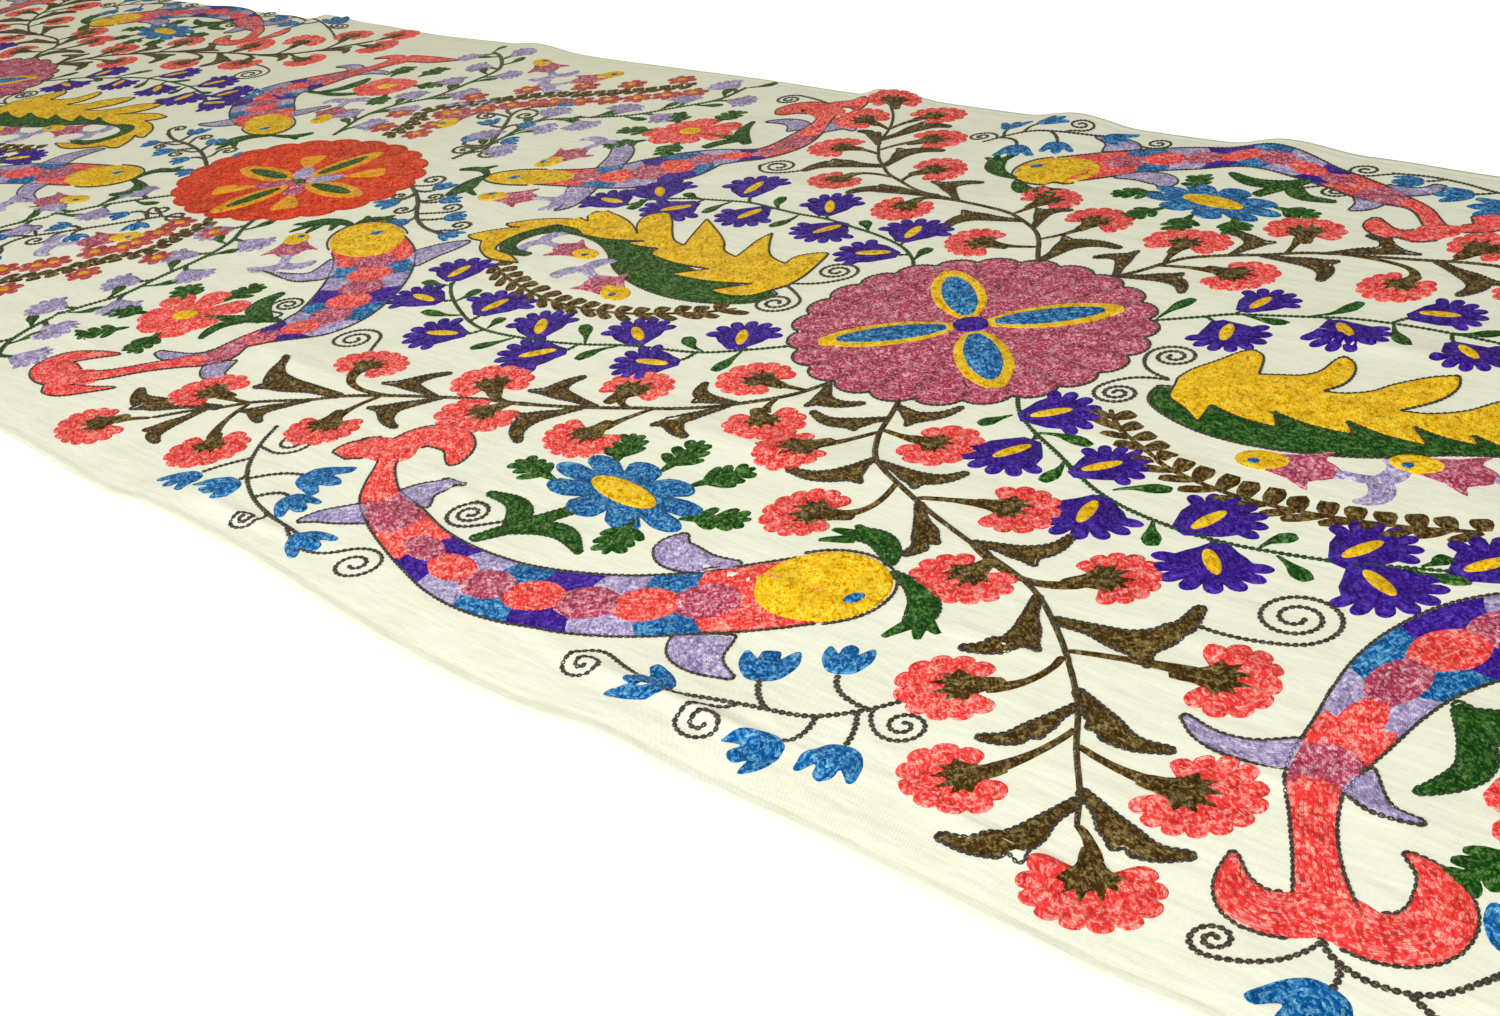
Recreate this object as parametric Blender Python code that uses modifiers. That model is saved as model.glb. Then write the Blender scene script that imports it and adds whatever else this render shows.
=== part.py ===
"""A long strip of embroidered cream cotton, laid out flat on a surface.

Metres, +Z up. The strip runs along X and lies on the plane z = 0, with its origin
at the bottom of its bounding box's middle. The far long side is at +Y. The sheet is
one closed solid: its underside is flat on the plane, apart from the ripples that lift
its two long edges and the soft swells that run along it.
"""
import math

import bmesh
import bpy

# Driving dimensions
STRIP_LENGTH = 3.22
STRIP_WIDTH = 1.05          # to the outermost point of each wavy long edge
SHEET_THICKNESS = 0.0015

# The mesh: cells of the flat sheet, then passes of finer ones where the cloth isn't flat
CELLS_LONG = 32
CELLS_ACROSS = 10
LIFTS_MADE_FINER = (0.0002, 0.0002, 0.0030)     # what a place must be lifted by, pass by pass
EDGE_STEP = 0.07            # longest straight run along the wavy outline
OUTLINE_TOLERANCE = 0.0005

# How far each long edge stands in from its outermost line: x, inset
FAR_EDGE_INSETS = (
    (-1.610, 0.018), (-1.512, 0.022), (-1.099, 0.033), (-0.690, 0.030), (-0.532, 0.014),
    (-0.380, 0.022), (-0.222, 0.014), (-0.019, 0.023), (0.213, 0.019), (0.377, 0.022),
    (0.503, 0.014), (0.605, 0.013), (0.800, 0.014), (0.980, 0.000), (1.086, 0.006),
    (1.315, 0.016), (1.610, 0.010),
)
NEAR_EDGE_INSETS = (
    (-1.610, 0.008), (-1.440, 0.015), (-1.090, 0.006), (-0.715, 0.014), (-0.352, 0.005),
    (0.010, 0.013), (0.338, 0.018), (0.532, 0.010), (0.634, 0.016), (0.916, 0.000),
    (1.199, 0.013), (1.330, 0.014), (1.610, 0.008),
)
# How far each hemmed end stands in from its outermost line: y, inset
LEFT_END_INSETS = ((-0.525, 0.006), (-0.230, 0.000), (0.160, 0.007), (0.525, 0.002))
RIGHT_END_INSETS = ((-0.525, 0.002), (-0.120, 0.006), (0.260, 0.000), (0.525, 0.005))

# Ripples that lift a long edge: x, height, half width to the left, half width to the right,
# reach in from the edge, drift along x at the end of that reach
FAR_RIPPLES = (
    (-1.295, 0.0060, 0.065, 0.075, 0.150, 0.020),
    (-0.642, 0.0085, 0.035, 0.095, 0.190, 0.030),
    (-0.178, 0.0050, 0.060, 0.090, 0.150, -0.020),
    (0.406, 0.0085, 0.032, 0.090, 0.180, 0.035),
    (0.660, 0.0085, 0.065, 0.075, 0.180, -0.020),
    (0.885, 0.0085, 0.055, 0.080, 0.190, 0.020),
    (1.214, 0.0065, 0.050, 0.060, 0.160, -0.015),
    (1.480, 0.0055, 0.060, 0.070, 0.150, 0.010),
)
NEAR_RIPPLES = (
    (-1.180, 0.0050, 0.070, 0.060, 0.110, 0.015),
    (-0.830, 0.0045, 0.055, 0.070, 0.120, -0.010),
    (-0.425, 0.0055, 0.060, 0.080, 0.120, 0.020),
    (0.083, 0.0045, 0.060, 0.060, 0.100, 0.000),
    (0.565, 0.0045, 0.055, 0.065, 0.110, 0.015),
    (1.040, 0.0055, 0.075, 0.075, 0.120, 0.030),
    (1.400, 0.0045, 0.055, 0.060, 0.110, -0.010),
)
# Soft swells along the strip: x, y, height, half length, half width, turn in degrees
SWELLS = (
    (0.450, -0.290, 0.0035, 0.210, 0.045, -4.0),
    (0.900, -0.215, 0.0030, 0.230, 0.042, 3.0),
    (1.180, 0.140, 0.0035, 0.210, 0.048, -2.0),
    (0.560, 0.225, 0.0030, 0.180, 0.045, 5.0),
    (-0.480, -0.180, 0.0035, 0.240, 0.048, 4.0),
    (-0.960, 0.190, 0.0035, 0.230, 0.046, -5.0),
    (-1.330, -0.120, 0.0030, 0.180, 0.045, 6.0),
)
SWELL_COLUMNS = ("x", "y", "height", "half_length", "half_width", "turn")
RIPPLE_COLUMNS = ("x", "height", "left", "right", "reach", "drift")

COTTON_CREAM = (0.80, 0.79, 0.69, 1.0)
COTTON_ROUGHNESS = 0.85


def clear_scene():
    """Remove every object, so that the script can be run again."""
    for thing in list(bpy.data.objects):
        bpy.data.objects.remove(thing, do_unlink=True)


def hump(t):
    """A smooth hump: 1 at t = 0, falling to 0 at t = -1 and t = 1, and 0 beyond."""
    return math.cos(math.pi * t / 2) ** 2 if abs(t) < 1 else 0.0


def eased(table, position):
    """Read a table of (position, value) rows, with a soft curve from row to row."""
    if position <= table[0][0]:
        return table[0][1]
    for (start, low), (end, high) in zip(table, table[1:]):
        if position <= end:
            t = (position - start) / (end - start)
            return low + (high - low) * (1 - math.cos(math.pi * t)) / 2
    return table[-1][1]


def far_edge(x):
    """Y of the far long edge."""
    return STRIP_WIDTH / 2 - eased(FAR_EDGE_INSETS, x)


def near_edge(x):
    """Y of the near long edge."""
    return -STRIP_WIDTH / 2 + eased(NEAR_EDGE_INSETS, x)


def left_end(y):
    """X of the left hemmed end."""
    return -STRIP_LENGTH / 2 + eased(LEFT_END_INSETS, y)


def right_end(y):
    """X of the right hemmed end."""
    return STRIP_LENGTH / 2 - eased(RIGHT_END_INSETS, y)


def ripple_lift(x, depth, row):
    """Height of one edge ripple at x, this deep in from the edge."""
    ripple = dict(zip(RIPPLE_COLUMNS, row))
    inward = depth / ripple["reach"]
    along = x - ripple["x"] - ripple["drift"] * inward
    half_width = ripple["left"] if along < 0 else ripple["right"]
    return ripple["height"] * hump(along / half_width) * hump(inward)


def swell_lift(x, y, row):
    """Height of one lengthwise swell at x, y."""
    swell = dict(zip(SWELL_COLUMNS, row))
    turn = math.radians(swell["turn"])
    dx = x - swell["x"]
    dy = y - swell["y"]
    along = dx * math.cos(turn) + dy * math.sin(turn)
    across = dy * math.cos(turn) - dx * math.sin(turn)
    return swell["height"] * hump(along / swell["half_length"]) * hump(across / swell["half_width"])


def lift(x, y):
    """Height of the cloth's underside over the surface that it lies on."""
    far_depth = far_edge(x) - y
    near_depth = y - near_edge(x)
    height = sum(ripple_lift(x, far_depth, row) for row in FAR_RIPPLES)
    height += sum(ripple_lift(x, near_depth, row) for row in NEAR_RIPPLES)
    height += sum(swell_lift(x, y, row) for row in SWELLS)
    return height


def place_flat(x_share, y_share):
    """Map the unit square onto the wavy outline: shares run from 0 to 1."""
    x = STRIP_LENGTH * (x_share - 0.5)
    y = STRIP_WIDTH * (y_share - 0.5)
    x = left_end(y) + (right_end(y) - left_end(y)) * x_share
    y = near_edge(x) + (far_edge(x) - near_edge(x)) * y_share
    return x, y


def is_outline(edge):
    """True for an edge on the sheet's rim that is longer than the outline allows."""
    return edge.is_boundary and edge.calc_length() > EDGE_STEP


def is_lifted(edge, least):
    """True for an edge that a ripple or swell lifts by more than the least height."""
    start, end = (vert.co for vert in edge.verts)
    spots = [start.lerp(end, share) for share in (0.0, 0.25, 0.5, 0.75, 1.0)]
    return any(lift(spot.x, spot.y) > least for spot in spots)


def flat_sheet():
    """The cut cloth as an open flat mesh, finer where it will be lifted."""
    sheet = bmesh.new()
    bmesh.ops.create_grid(sheet, x_segments=CELLS_LONG, y_segments=CELLS_ACROSS, size=0.5)
    for vert in sheet.verts:
        vert.co.x, vert.co.y = place_flat(vert.co.x + 0.5, vert.co.y + 0.5)
    bmesh.ops.triangulate(sheet, faces=sheet.faces[:])
    for least in LIFTS_MADE_FINER:
        lifted = [edge for edge in sheet.edges if is_lifted(edge, least)]
        bmesh.ops.subdivide_edges(sheet, edges=lifted, cuts=1, use_grid_fill=True)
        bmesh.ops.triangulate(sheet, faces=sheet.faces[:])
    rim = [edge for edge in sheet.edges if is_outline(edge)]
    bmesh.ops.subdivide_edges(sheet, edges=rim, cuts=1)
    bmesh.ops.triangulate(sheet, faces=sheet.faces[:])
    return sheet


def settle_on_outline(sheet):
    """Move the rim's points onto the wavy edges, which are curved between the first ones."""
    for vert in sheet.verts:
        if not vert.is_boundary:
            continue
        at_end = min(vert.co.x - left_end(vert.co.y), right_end(vert.co.y) - vert.co.x)
        if at_end > OUTLINE_TOLERANCE:
            on_far_side = vert.co.y > 0
            vert.co.y = far_edge(vert.co.x) if on_far_side else near_edge(vert.co.x)


def cotton():
    """Cream cotton."""
    material = bpy.data.materials.new("cotton_cream")
    material.use_nodes = True
    shader = material.node_tree.nodes["Principled BSDF"]
    shader.inputs["Base Color"].default_value = COTTON_CREAM
    shader.inputs["Roughness"].default_value = COTTON_ROUGHNESS
    shader.inputs["Metallic"].default_value = 0.0
    return material


def build_cloth():
    """The strip: a flat cut sheet, lifted in its ripples and swells, and given its thickness."""
    sheet = flat_sheet()
    settle_on_outline(sheet)
    for vert in sheet.verts:
        vert.co.z = lift(vert.co.x, vert.co.y)
    mesh = bpy.data.meshes.new("cloth")
    sheet.to_mesh(mesh)
    sheet.free()
    cloth = bpy.data.objects.new("cloth", mesh)
    mesh.materials.append(cotton())
    thickness = cloth.modifiers.new("thickness", "SOLIDIFY")
    thickness.thickness = SHEET_THICKNESS
    thickness.offset = 1.0
    thickness.use_even_offset = True
    mesh.shade_smooth()
    return cloth


def main():
    """Build the strip in its own collection."""
    clear_scene()
    collection = bpy.data.collections.new("embroidered_strip")
    bpy.context.scene.collection.children.link(collection)
    collection.objects.link(build_cloth())


main()
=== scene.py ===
"""Dress the laid strip: cream cotton with its creases and hems, and the chain stitching on it."""

import logging
import math
from dataclasses import dataclass, replace
from enum import Enum

import bmesh
import bpy
import numpy as np
from mathutils import Matrix, Vector
from mathutils.geometry import delaunay_2d_cdt

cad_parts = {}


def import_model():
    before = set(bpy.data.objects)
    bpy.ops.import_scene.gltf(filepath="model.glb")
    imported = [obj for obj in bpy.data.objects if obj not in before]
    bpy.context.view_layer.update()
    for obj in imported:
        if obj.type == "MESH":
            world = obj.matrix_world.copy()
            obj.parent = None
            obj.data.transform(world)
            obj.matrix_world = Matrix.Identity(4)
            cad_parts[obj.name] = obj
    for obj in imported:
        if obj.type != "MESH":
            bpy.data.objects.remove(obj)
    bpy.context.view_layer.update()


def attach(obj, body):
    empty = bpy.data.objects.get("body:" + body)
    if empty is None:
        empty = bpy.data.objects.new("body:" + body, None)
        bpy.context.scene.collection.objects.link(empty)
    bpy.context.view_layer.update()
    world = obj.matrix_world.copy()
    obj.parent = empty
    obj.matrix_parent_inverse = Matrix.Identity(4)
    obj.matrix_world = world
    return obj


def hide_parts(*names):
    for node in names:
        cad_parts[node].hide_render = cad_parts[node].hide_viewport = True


LOG = logging.getLogger("strip")

# Driving dimensions, in metres. The pattern is drawn in medallion radii.
MEDALLION_RADIUS = 0.145
STRIP_LENGTH = 3.22
STRIP_WIDTH = 1.05
COTTON_THICKNESS = 0.0006
COTTON_CLEARANCE = 0.0001
PATTERN_AXIS_Y = 0.0304
PINK_MEDALLION_X = 0.880
STITCH_LENGTH = 0.0043
STITCH_WIDTH = 0.0024
FILL_STITCH_LENGTH = 0.0034
FILL_ROW_WIDTH = 0.0021
FILL_HEIGHT = 0.0008
CHAIN_HEIGHT = 0.0009
LAYER_RISE = 0.0004
LIFT_SPREAD = 0.00012
TONE_RANGE = (0.93, 1.07)
NO_LENGTH = 1e-12
SEED = 41

# How far each long edge stands in from its outermost line: x, inset
FAR_EDGE_INSETS = (
    (-1.610, 0.018), (-1.512, 0.022), (-1.099, 0.033), (-0.690, 0.030), (-0.532, 0.014),
    (-0.380, 0.022), (-0.222, 0.014), (-0.019, 0.023), (0.213, 0.019), (0.377, 0.022),
    (0.503, 0.014), (0.605, 0.013), (0.800, 0.014), (0.980, 0.000), (1.086, 0.006),
    (1.315, 0.016), (1.610, 0.010),
)
NEAR_EDGE_INSETS = (
    (-1.610, 0.008), (-1.440, 0.015), (-1.090, 0.006), (-0.715, 0.014), (-0.352, 0.005),
    (0.010, 0.013), (0.338, 0.018), (0.532, 0.010), (0.634, 0.016), (0.916, 0.000),
    (1.199, 0.013), (1.330, 0.014), (1.610, 0.008),
)
# How far each hemmed end stands in from its outermost line: y, inset
LEFT_END_INSETS = ((-0.525, 0.006), (-0.230, 0.000), (0.160, 0.007), (0.525, 0.002))
RIGHT_END_INSETS = ((-0.525, 0.002), (-0.120, 0.006), (0.260, 0.000), (0.525, 0.005))

# Ripples that lift a long edge, the solid's own: x, height, half width left, half width right,
# reach in from the edge, drift along x at the end of that reach
FAR_RIPPLES = (
    (-1.295, 0.0060, 0.065, 0.075, 0.150, 0.020),
    (-0.642, 0.0085, 0.035, 0.095, 0.190, 0.030),
    (-0.178, 0.0050, 0.060, 0.090, 0.150, -0.020),
    (0.406, 0.0085, 0.032, 0.090, 0.180, 0.035),
    (0.660, 0.0085, 0.065, 0.075, 0.180, -0.020),
    (0.885, 0.0085, 0.055, 0.080, 0.190, 0.020),
    (1.214, 0.0065, 0.050, 0.060, 0.160, -0.015),
    (1.480, 0.0055, 0.060, 0.070, 0.150, 0.010),
)
NEAR_RIPPLES = (
    (-1.180, 0.0050, 0.070, 0.060, 0.110, 0.015),
    (-0.830, 0.0045, 0.055, 0.070, 0.120, -0.010),
    (-0.425, 0.0055, 0.060, 0.080, 0.120, 0.020),
    (0.083, 0.0045, 0.060, 0.060, 0.100, 0.000),
    (0.565, 0.0045, 0.055, 0.065, 0.110, 0.015),
    (1.040, 0.0055, 0.075, 0.075, 0.120, 0.030),
    (1.400, 0.0045, 0.055, 0.060, 0.110, -0.010),
)
# Soft swells along the strip, the solid's own: x, y, height, half length, half width, turn
SWELLS = (
    (0.450, -0.290, 0.0035, 0.210, 0.045, -4.0),
    (0.900, -0.215, 0.0030, 0.230, 0.042, 3.0),
    (1.180, 0.140, 0.0035, 0.210, 0.048, -2.0),
    (0.560, 0.225, 0.0030, 0.180, 0.045, 5.0),
    (-0.480, -0.180, 0.0035, 0.240, 0.048, 4.0),
    (-0.960, 0.190, 0.0035, 0.230, 0.046, -5.0),
    (-1.330, -0.120, 0.0030, 0.180, 0.045, 6.0),
)
# Finer creases of the limp cloth, in medallion radii from the visible pink medallion:
# u, v, height in metres, half length, half width, turn in degrees
CREASES = (
    (1.20, -3.46, 0.0016, 1.30, 0.10, 1.5), (2.60, -3.40, 0.0012, 0.80, 0.09, -3.0),
    (-1.60, -3.52, 0.0012, 0.90, 0.09, 2.0), (0.80, -2.62, 0.0010, 0.60, 0.08, 12.0),
    (1.90, -2.45, 0.0011, 0.70, 0.07, 4.0), (2.70, -2.05, 0.0010, 0.60, 0.07, -6.0),
    (3.30, -2.60, 0.0012, 0.80, 0.08, 3.0), (-2.90, -2.30, 0.0012, 0.60, 0.08, -3.0),
    (-0.10, -1.72, 0.0011, 0.90, 0.07, 2.0), (-1.00, -2.75, 0.0010, 0.60, 0.07, -14.0),
    (2.00, -0.82, 0.0012, 1.00, 0.08, -2.0), (-2.50, -0.62, 0.0012, 0.60, 0.07, 4.0),
    (1.90, 0.72, 0.0014, 0.80, 0.08, -1.0), (-3.05, 1.35, 0.0013, 0.50, 0.09, 60.0),
    (-4.40, -1.50, 0.0012, 0.50, 0.08, 8.0), (-4.80, -2.70, 0.0011, 0.70, 0.08, -12.0),
    (-3.30, 0.20, 0.0010, 0.50, 0.08, 70.0), (1.35, 2.10, 0.0012, 0.50, 0.09, 65.0),
    (-0.90, 2.10, 0.0011, 0.60, 0.08, 75.0), (-5.20, 1.60, 0.0012, 0.60, 0.08, 80.0),
    (-7.40, -1.60, 0.0012, 0.80, 0.08, 5.0), (-8.60, 1.20, 0.0012, 0.80, 0.08, -8.0),
    (-10.4, -2.20, 0.0012, 0.90, 0.08, 3.0), (-12.2, 1.70, 0.0012, 0.90, 0.08, -4.0),
    (-14.3, -0.90, 0.0012, 0.90, 0.08, 6.0), (-15.6, 2.00, 0.0012, 0.70, 0.08, 12.0),
    (4.30, -1.20, 0.0012, 0.50, 0.08, 74.0), (3.90, 1.90, 0.0012, 0.60, 0.08, -20.0),
)
RIPPLE_COLUMNS = ("x", "height", "left", "right", "reach", "drift")
SWELL_COLUMNS = ("x", "y", "height", "half_length", "half_width", "turn")


def srgb(red: int, green: int, blue: int) -> tuple[float, float, float]:
    """Turn a colour as it is seen on a screen into the light values that shaders take.

    Args:
        red: Red from 0 to 255.
        green: Green from 0 to 255.
        blue: Blue from 0 to 255.

    Returns:
        The three linear values.
    """
    return tuple(
        share / 12.92 if share <= 0.04045 else ((share + 0.055) / 1.055) ** 2.4
        for share in (red / 255, green / 255, blue / 255)
    )


def hump(t: np.ndarray) -> np.ndarray:
    """A smooth hump: 1 at t = 0, falling to 0 at t = -1 and t = 1, and 0 beyond."""
    return np.where(np.abs(t) < 1, np.cos(math.pi * np.clip(t, -1, 1) / 2) ** 2, 0.0)


def eased(table: tuple, position: np.ndarray) -> np.ndarray:
    """Read a table of (position, value) rows, with a soft curve from row to row.

    Args:
        table: The rows, in order of position.
        position: Where to read it.

    Returns:
        The values there.
    """
    at = np.array([row[0] for row in table])
    values = np.array([row[1] for row in table])
    span = np.clip(np.searchsorted(at, position) - 1, 0, len(table) - 2)
    t = np.clip((position - at[span]) / (at[span + 1] - at[span]), 0, 1)
    return values[span] + (values[span + 1] - values[span]) * (1 - np.cos(math.pi * t)) / 2


def smooth_path(points: list | tuple | np.ndarray, per_span: int = 8,
                closed: bool = False) -> np.ndarray:
    """Run a smooth curve through a few given points.

    Args:
        points: The points, each u, v and any further values to smooth along with them.
        per_span: Steps between two points.
        closed: Whether the curve returns to its first point.

    Returns:
        The points along the curve.
    """
    base = np.array(points, float)
    if closed:
        base = np.vstack([base[-1], base, base[0], base[1]])
    else:
        base = np.vstack([2 * base[0] - base[1], base, 2 * base[-1] - base[-2]])
    t = (np.arange(per_span) / per_span)[None, :, None]
    p0, p1, p2, p3 = (base[i:len(base) - 3 + i, None, :] for i in range(4))
    curve = 0.5 * (
        2 * p1 + (p2 - p0) * t + (2 * p0 - 5 * p1 + 4 * p2 - p3) * t ** 2
        + (3 * p1 - p0 - 3 * p2 + p3) * t ** 3
    )
    flat = curve.reshape(-1, base.shape[1])
    return flat if closed else np.vstack([flat, base[-2]])


def arc_lengths(path: np.ndarray) -> np.ndarray:
    """The distance along a path at each of its points."""
    steps = np.linalg.norm(np.diff(path[:, :2], axis=0), axis=1)
    return np.concatenate([[0.0], np.cumsum(steps)])


def evenly(path: np.ndarray, step: float, least: int = 2) -> np.ndarray:
    """Points at even distances along a path.

    Args:
        path: The path's points, which may carry further values.
        step: The distance wanted, in the path's own units.
        least: The fewest spans.

    Returns:
        The even points, from the first to the last of the path.
    """
    along = arc_lengths(path)
    count = max(least, int(round(along[-1] / step)))
    wanted = np.linspace(0, along[-1], count + 1)
    return np.stack([np.interp(wanted, along, path[:, k]) for k in range(path.shape[1])], axis=1)


def side_normals(path: np.ndarray) -> np.ndarray:
    """Unit vectors to the left of a path's direction.

    Args:
        path: Points along the path.

    Returns:
        One vector for each point.
    """
    along = np.gradient(path[:, :2], axis=0)
    along /= np.maximum(np.linalg.norm(along, axis=1, keepdims=True), 1e-9)
    return np.stack([-along[:, 1], along[:, 0]], axis=1)


@dataclass(frozen=True)
class Cloth:
    """The cotton strip as it lies: its outline and the height of its face."""

    length: float = STRIP_LENGTH
    width: float = STRIP_WIDTH
    swell_bow: float = 0.12
    crease_depth: float = 2.4
    crease_girth: float = 0.65
    limpness_height: float = 0.00016
    hem_width: float = 0.011
    hem_rise: float = 0.0004
    hem_slope: float = 0.002
    hem_dip: float = 0.0002
    dip_half_width: float = 0.003

    def far_edge(self, x: np.ndarray) -> np.ndarray:
        """Y of the far long edge."""
        return self.width / 2 - eased(FAR_EDGE_INSETS, x)

    def near_edge(self, x: np.ndarray) -> np.ndarray:
        """Y of the near long edge."""
        return -self.width / 2 + eased(NEAR_EDGE_INSETS, x)

    def left_end(self, y: np.ndarray) -> np.ndarray:
        """X of the left end."""
        return -self.length / 2 + eased(LEFT_END_INSETS, y)

    def right_end(self, y: np.ndarray) -> np.ndarray:
        """X of the right end."""
        return self.length / 2 - eased(RIGHT_END_INSETS, y)

    def inset(self, x: np.ndarray, y: np.ndarray) -> np.ndarray:
        """Distance in from the nearest edge or end."""
        across = np.minimum(self.far_edge(x) - y, y - self.near_edge(x))
        return np.minimum(across, np.minimum(x - self.left_end(y), self.right_end(y) - x))

    def ripples(self, x: np.ndarray, depth: np.ndarray, rows: tuple) -> np.ndarray:
        """Height of a long edge's ripples.

        Args:
            x: Places along the strip.
            depth: Distance in from that edge.
            rows: The ripples.

        Returns:
            The height over the surface.
        """
        height = np.zeros_like(x)
        for row in rows:
            ripple = dict(zip(RIPPLE_COLUMNS, row))
            inward = depth / ripple["reach"]
            along = x - ripple["x"] - ripple["drift"] * inward
            half_width = np.where(along < 0, ripple["left"], ripple["right"])
            height += ripple["height"] * hump(along / half_width) * hump(inward)
        return height

    def swells(self, x: np.ndarray, y: np.ndarray, rows: tuple) -> np.ndarray:
        """Height of lengthwise swells or creases.

        Args:
            x: Places along the strip.
            y: Places across it.
            rows: The swells.

        Returns:
            The height that they add.
        """
        height = np.zeros_like(x)
        for row in rows:
            swell = dict(zip(SWELL_COLUMNS, row))
            turn = math.radians(swell["turn"])
            dx = x - swell["x"]
            dy = y - swell["y"]
            along = dx * math.cos(turn) + dy * math.sin(turn)
            across = dy * math.cos(turn) - dx * math.sin(turn)
            bow = across - self.swell_bow * along ** 2 / swell["half_length"]
            lengthwise = hump(along / swell["half_length"])
            height += swell["height"] * lengthwise * hump(bow / swell["half_width"])
        return height

    def crease_rows(self) -> list:
        """The finer creases, laid round the right medallion.

        Returns:
            Rows of swells, in metres.
        """
        radius = MEDALLION_RADIUS
        return [
            (PINK_MEDALLION_X + u * radius, PATTERN_AXIS_Y + v * radius, self.crease_depth * height,
             half_length * radius, self.crease_girth * half_width * radius, turn)
            for u, v, height, half_length, half_width, turn in CREASES
        ]

    def limpness(self, x: np.ndarray, y: np.ndarray) -> np.ndarray:
        """Slight unevenness of the whole cloth.

        Args:
            x: Places along the strip.
            y: Places across it.

        Returns:
            Heights, none of them below the surface.
        """
        wave = (
            np.sin(9.1 * x + 2.3 * np.sin(5.3 * y)) * np.sin(17.0 * y + 1.4 * np.sin(4.1 * x))
            + 0.6 * np.sin(31.0 * x - 23.0 * y + 2.0 * np.sin(11.0 * y))
            + 0.4 * np.sin(52.0 * y + 3.0 * np.sin(14.0 * x))
        )
        return self.limpness_height * (2.0 + wave)

    def face(self, x: np.ndarray, y: np.ndarray) -> np.ndarray:
        """Height of the cloth's upper face.

        Args:
            x: Places along the strip.
            y: Places across it.

        Returns:
            The heights, in metres.
        """
        height = self.ripples(x, self.far_edge(x) - y, FAR_RIPPLES)
        height += self.ripples(x, y - self.near_edge(x), NEAR_RIPPLES)
        height += self.swells(x, y, SWELLS) + self.swells(x, y, self.crease_rows())
        height += self.limpness(x, y)
        inset = self.inset(x, y)
        height += self.hem_rise * np.clip((self.hem_width - inset) / self.hem_slope, 0, 1)
        height -= self.hem_dip * hump((inset - self.hem_width) / self.dip_half_width)
        return height + COTTON_THICKNESS + COTTON_CLEARANCE


@dataclass(frozen=True)
class Spot:
    """A place, direction and size on the cloth. A motif's own points are laid through it."""

    matrix: np.ndarray
    origin: np.ndarray

    @classmethod
    def cell(cls, x: float, y: float) -> "Spot":
        """A cell of the pattern: medallion radii from the point x, y."""
        return cls(np.eye(2) * MEDALLION_RADIUS, np.array([x, y]))

    def at(self, u: float, v: float, facing: float = 90.0, size: float = 1.0,
           stretch: float = 1.0) -> "Spot":
        """A motif's place within this one.

        Args:
            u: Where its middle is, along.
            v: Where its middle is, across.
            facing: Direction of the motif's own v axis, in degrees from u.
            size: Scale of the motif.
            stretch: Further scale of its u axis, negative to mirror it.

        Returns:
            The new spot.
        """
        turn = math.radians(facing - 90.0)
        cosine, sine = math.cos(turn), math.sin(turn)
        spin = np.array([[cosine, -sine], [sine, cosine]]) @ np.diag([size * stretch, size])
        return Spot(self.matrix @ spin, self.origin + self.matrix @ np.array([u, v]))

    def lay(self, points: np.ndarray) -> np.ndarray:
        """Places on the cloth, in metres, of a motif's own points."""
        return np.asarray(points, float)[:, :2] @ self.matrix.T + self.origin

    @property
    def scale(self) -> float:
        """Metres for one of the motif's units."""
        return math.sqrt(abs(np.linalg.det(self.matrix)))


class Thread(Enum):
    """The threads, each with the record's slot, its colour as seen and the colour of its painted glints,
    the highlights painted on its loops.
    """

    CORAL = ("thread_coral", (252, 58, 54), (255, 200, 186))
    MAUVE = ("thread_mauve", (172, 58, 86), (255, 206, 218))
    LILAC = ("thread_lilac", (152, 136, 182), (246, 240, 252))
    PURPLE = ("thread_purple", (50, 10, 130), (106, 74, 200))
    BLUE = ("thread_blue", (0, 84, 148), (132, 206, 240))
    GOLD = ("thread_gold", (240, 174, 0), (255, 238, 84))
    GREEN = ("thread_green", (14, 66, 6), (116, 158, 84))
    OLIVE = ("thread_olive", (66, 44, 8), (170, 148, 92))
    RED_ORANGE = ("thread_red_orange", (230, 44, 14), (252, 136, 78))
    AMBER = ("thread_gold", (242, 146, 4), (255, 210, 76))
    ROSE = ("thread_mauve", (176, 60, 62), (230, 144, 132))
    CHARCOAL = ("thread_charcoal", (62, 50, 38), (174, 158, 134))

    @property
    def slot(self) -> str:
        """The record's slot."""
        return self.value[0]

    @property
    def colour(self) -> tuple:
        """The thread's colour."""
        return srgb(*self.value[1])

    @property
    def glint(self) -> tuple:
        """The colour painted on its loops as glints: a painted highlight."""
        return srgb(*self.value[2])


class Lay(Enum):
    """How a fill's rows of stitches run."""

    ROWS = "rows"
    RINGS = "rings"
    LINKS = "links"


class Bundle:
    """The stitches of one thread and lay, as arrays that become one mesh."""

    def __init__(self) -> None:
        """Start with nothing."""
        self.points: list = []
        self.faces: list = []
        self.coords: list = []
        self.tones: list = []
        self.count = 0

    def add(self, points: np.ndarray, faces: np.ndarray, coords: np.ndarray, tone: np.ndarray) -> None:
        """Add one fill or chain.

        Args:
            points: x, y and level over the cloth's face.
            faces: Rows of point numbers, three or four each.
            coords: Stitch coordinates of each point.
            tone: Lightness of each point, about 1: a random tone, with painted shade in a patch's
                valleys.
        """
        self.points.append(points)
        self.faces.extend((faces + self.count).tolist())
        self.coords.append(coords)
        self.tones.append(tone)
        self.count += len(points)


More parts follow.
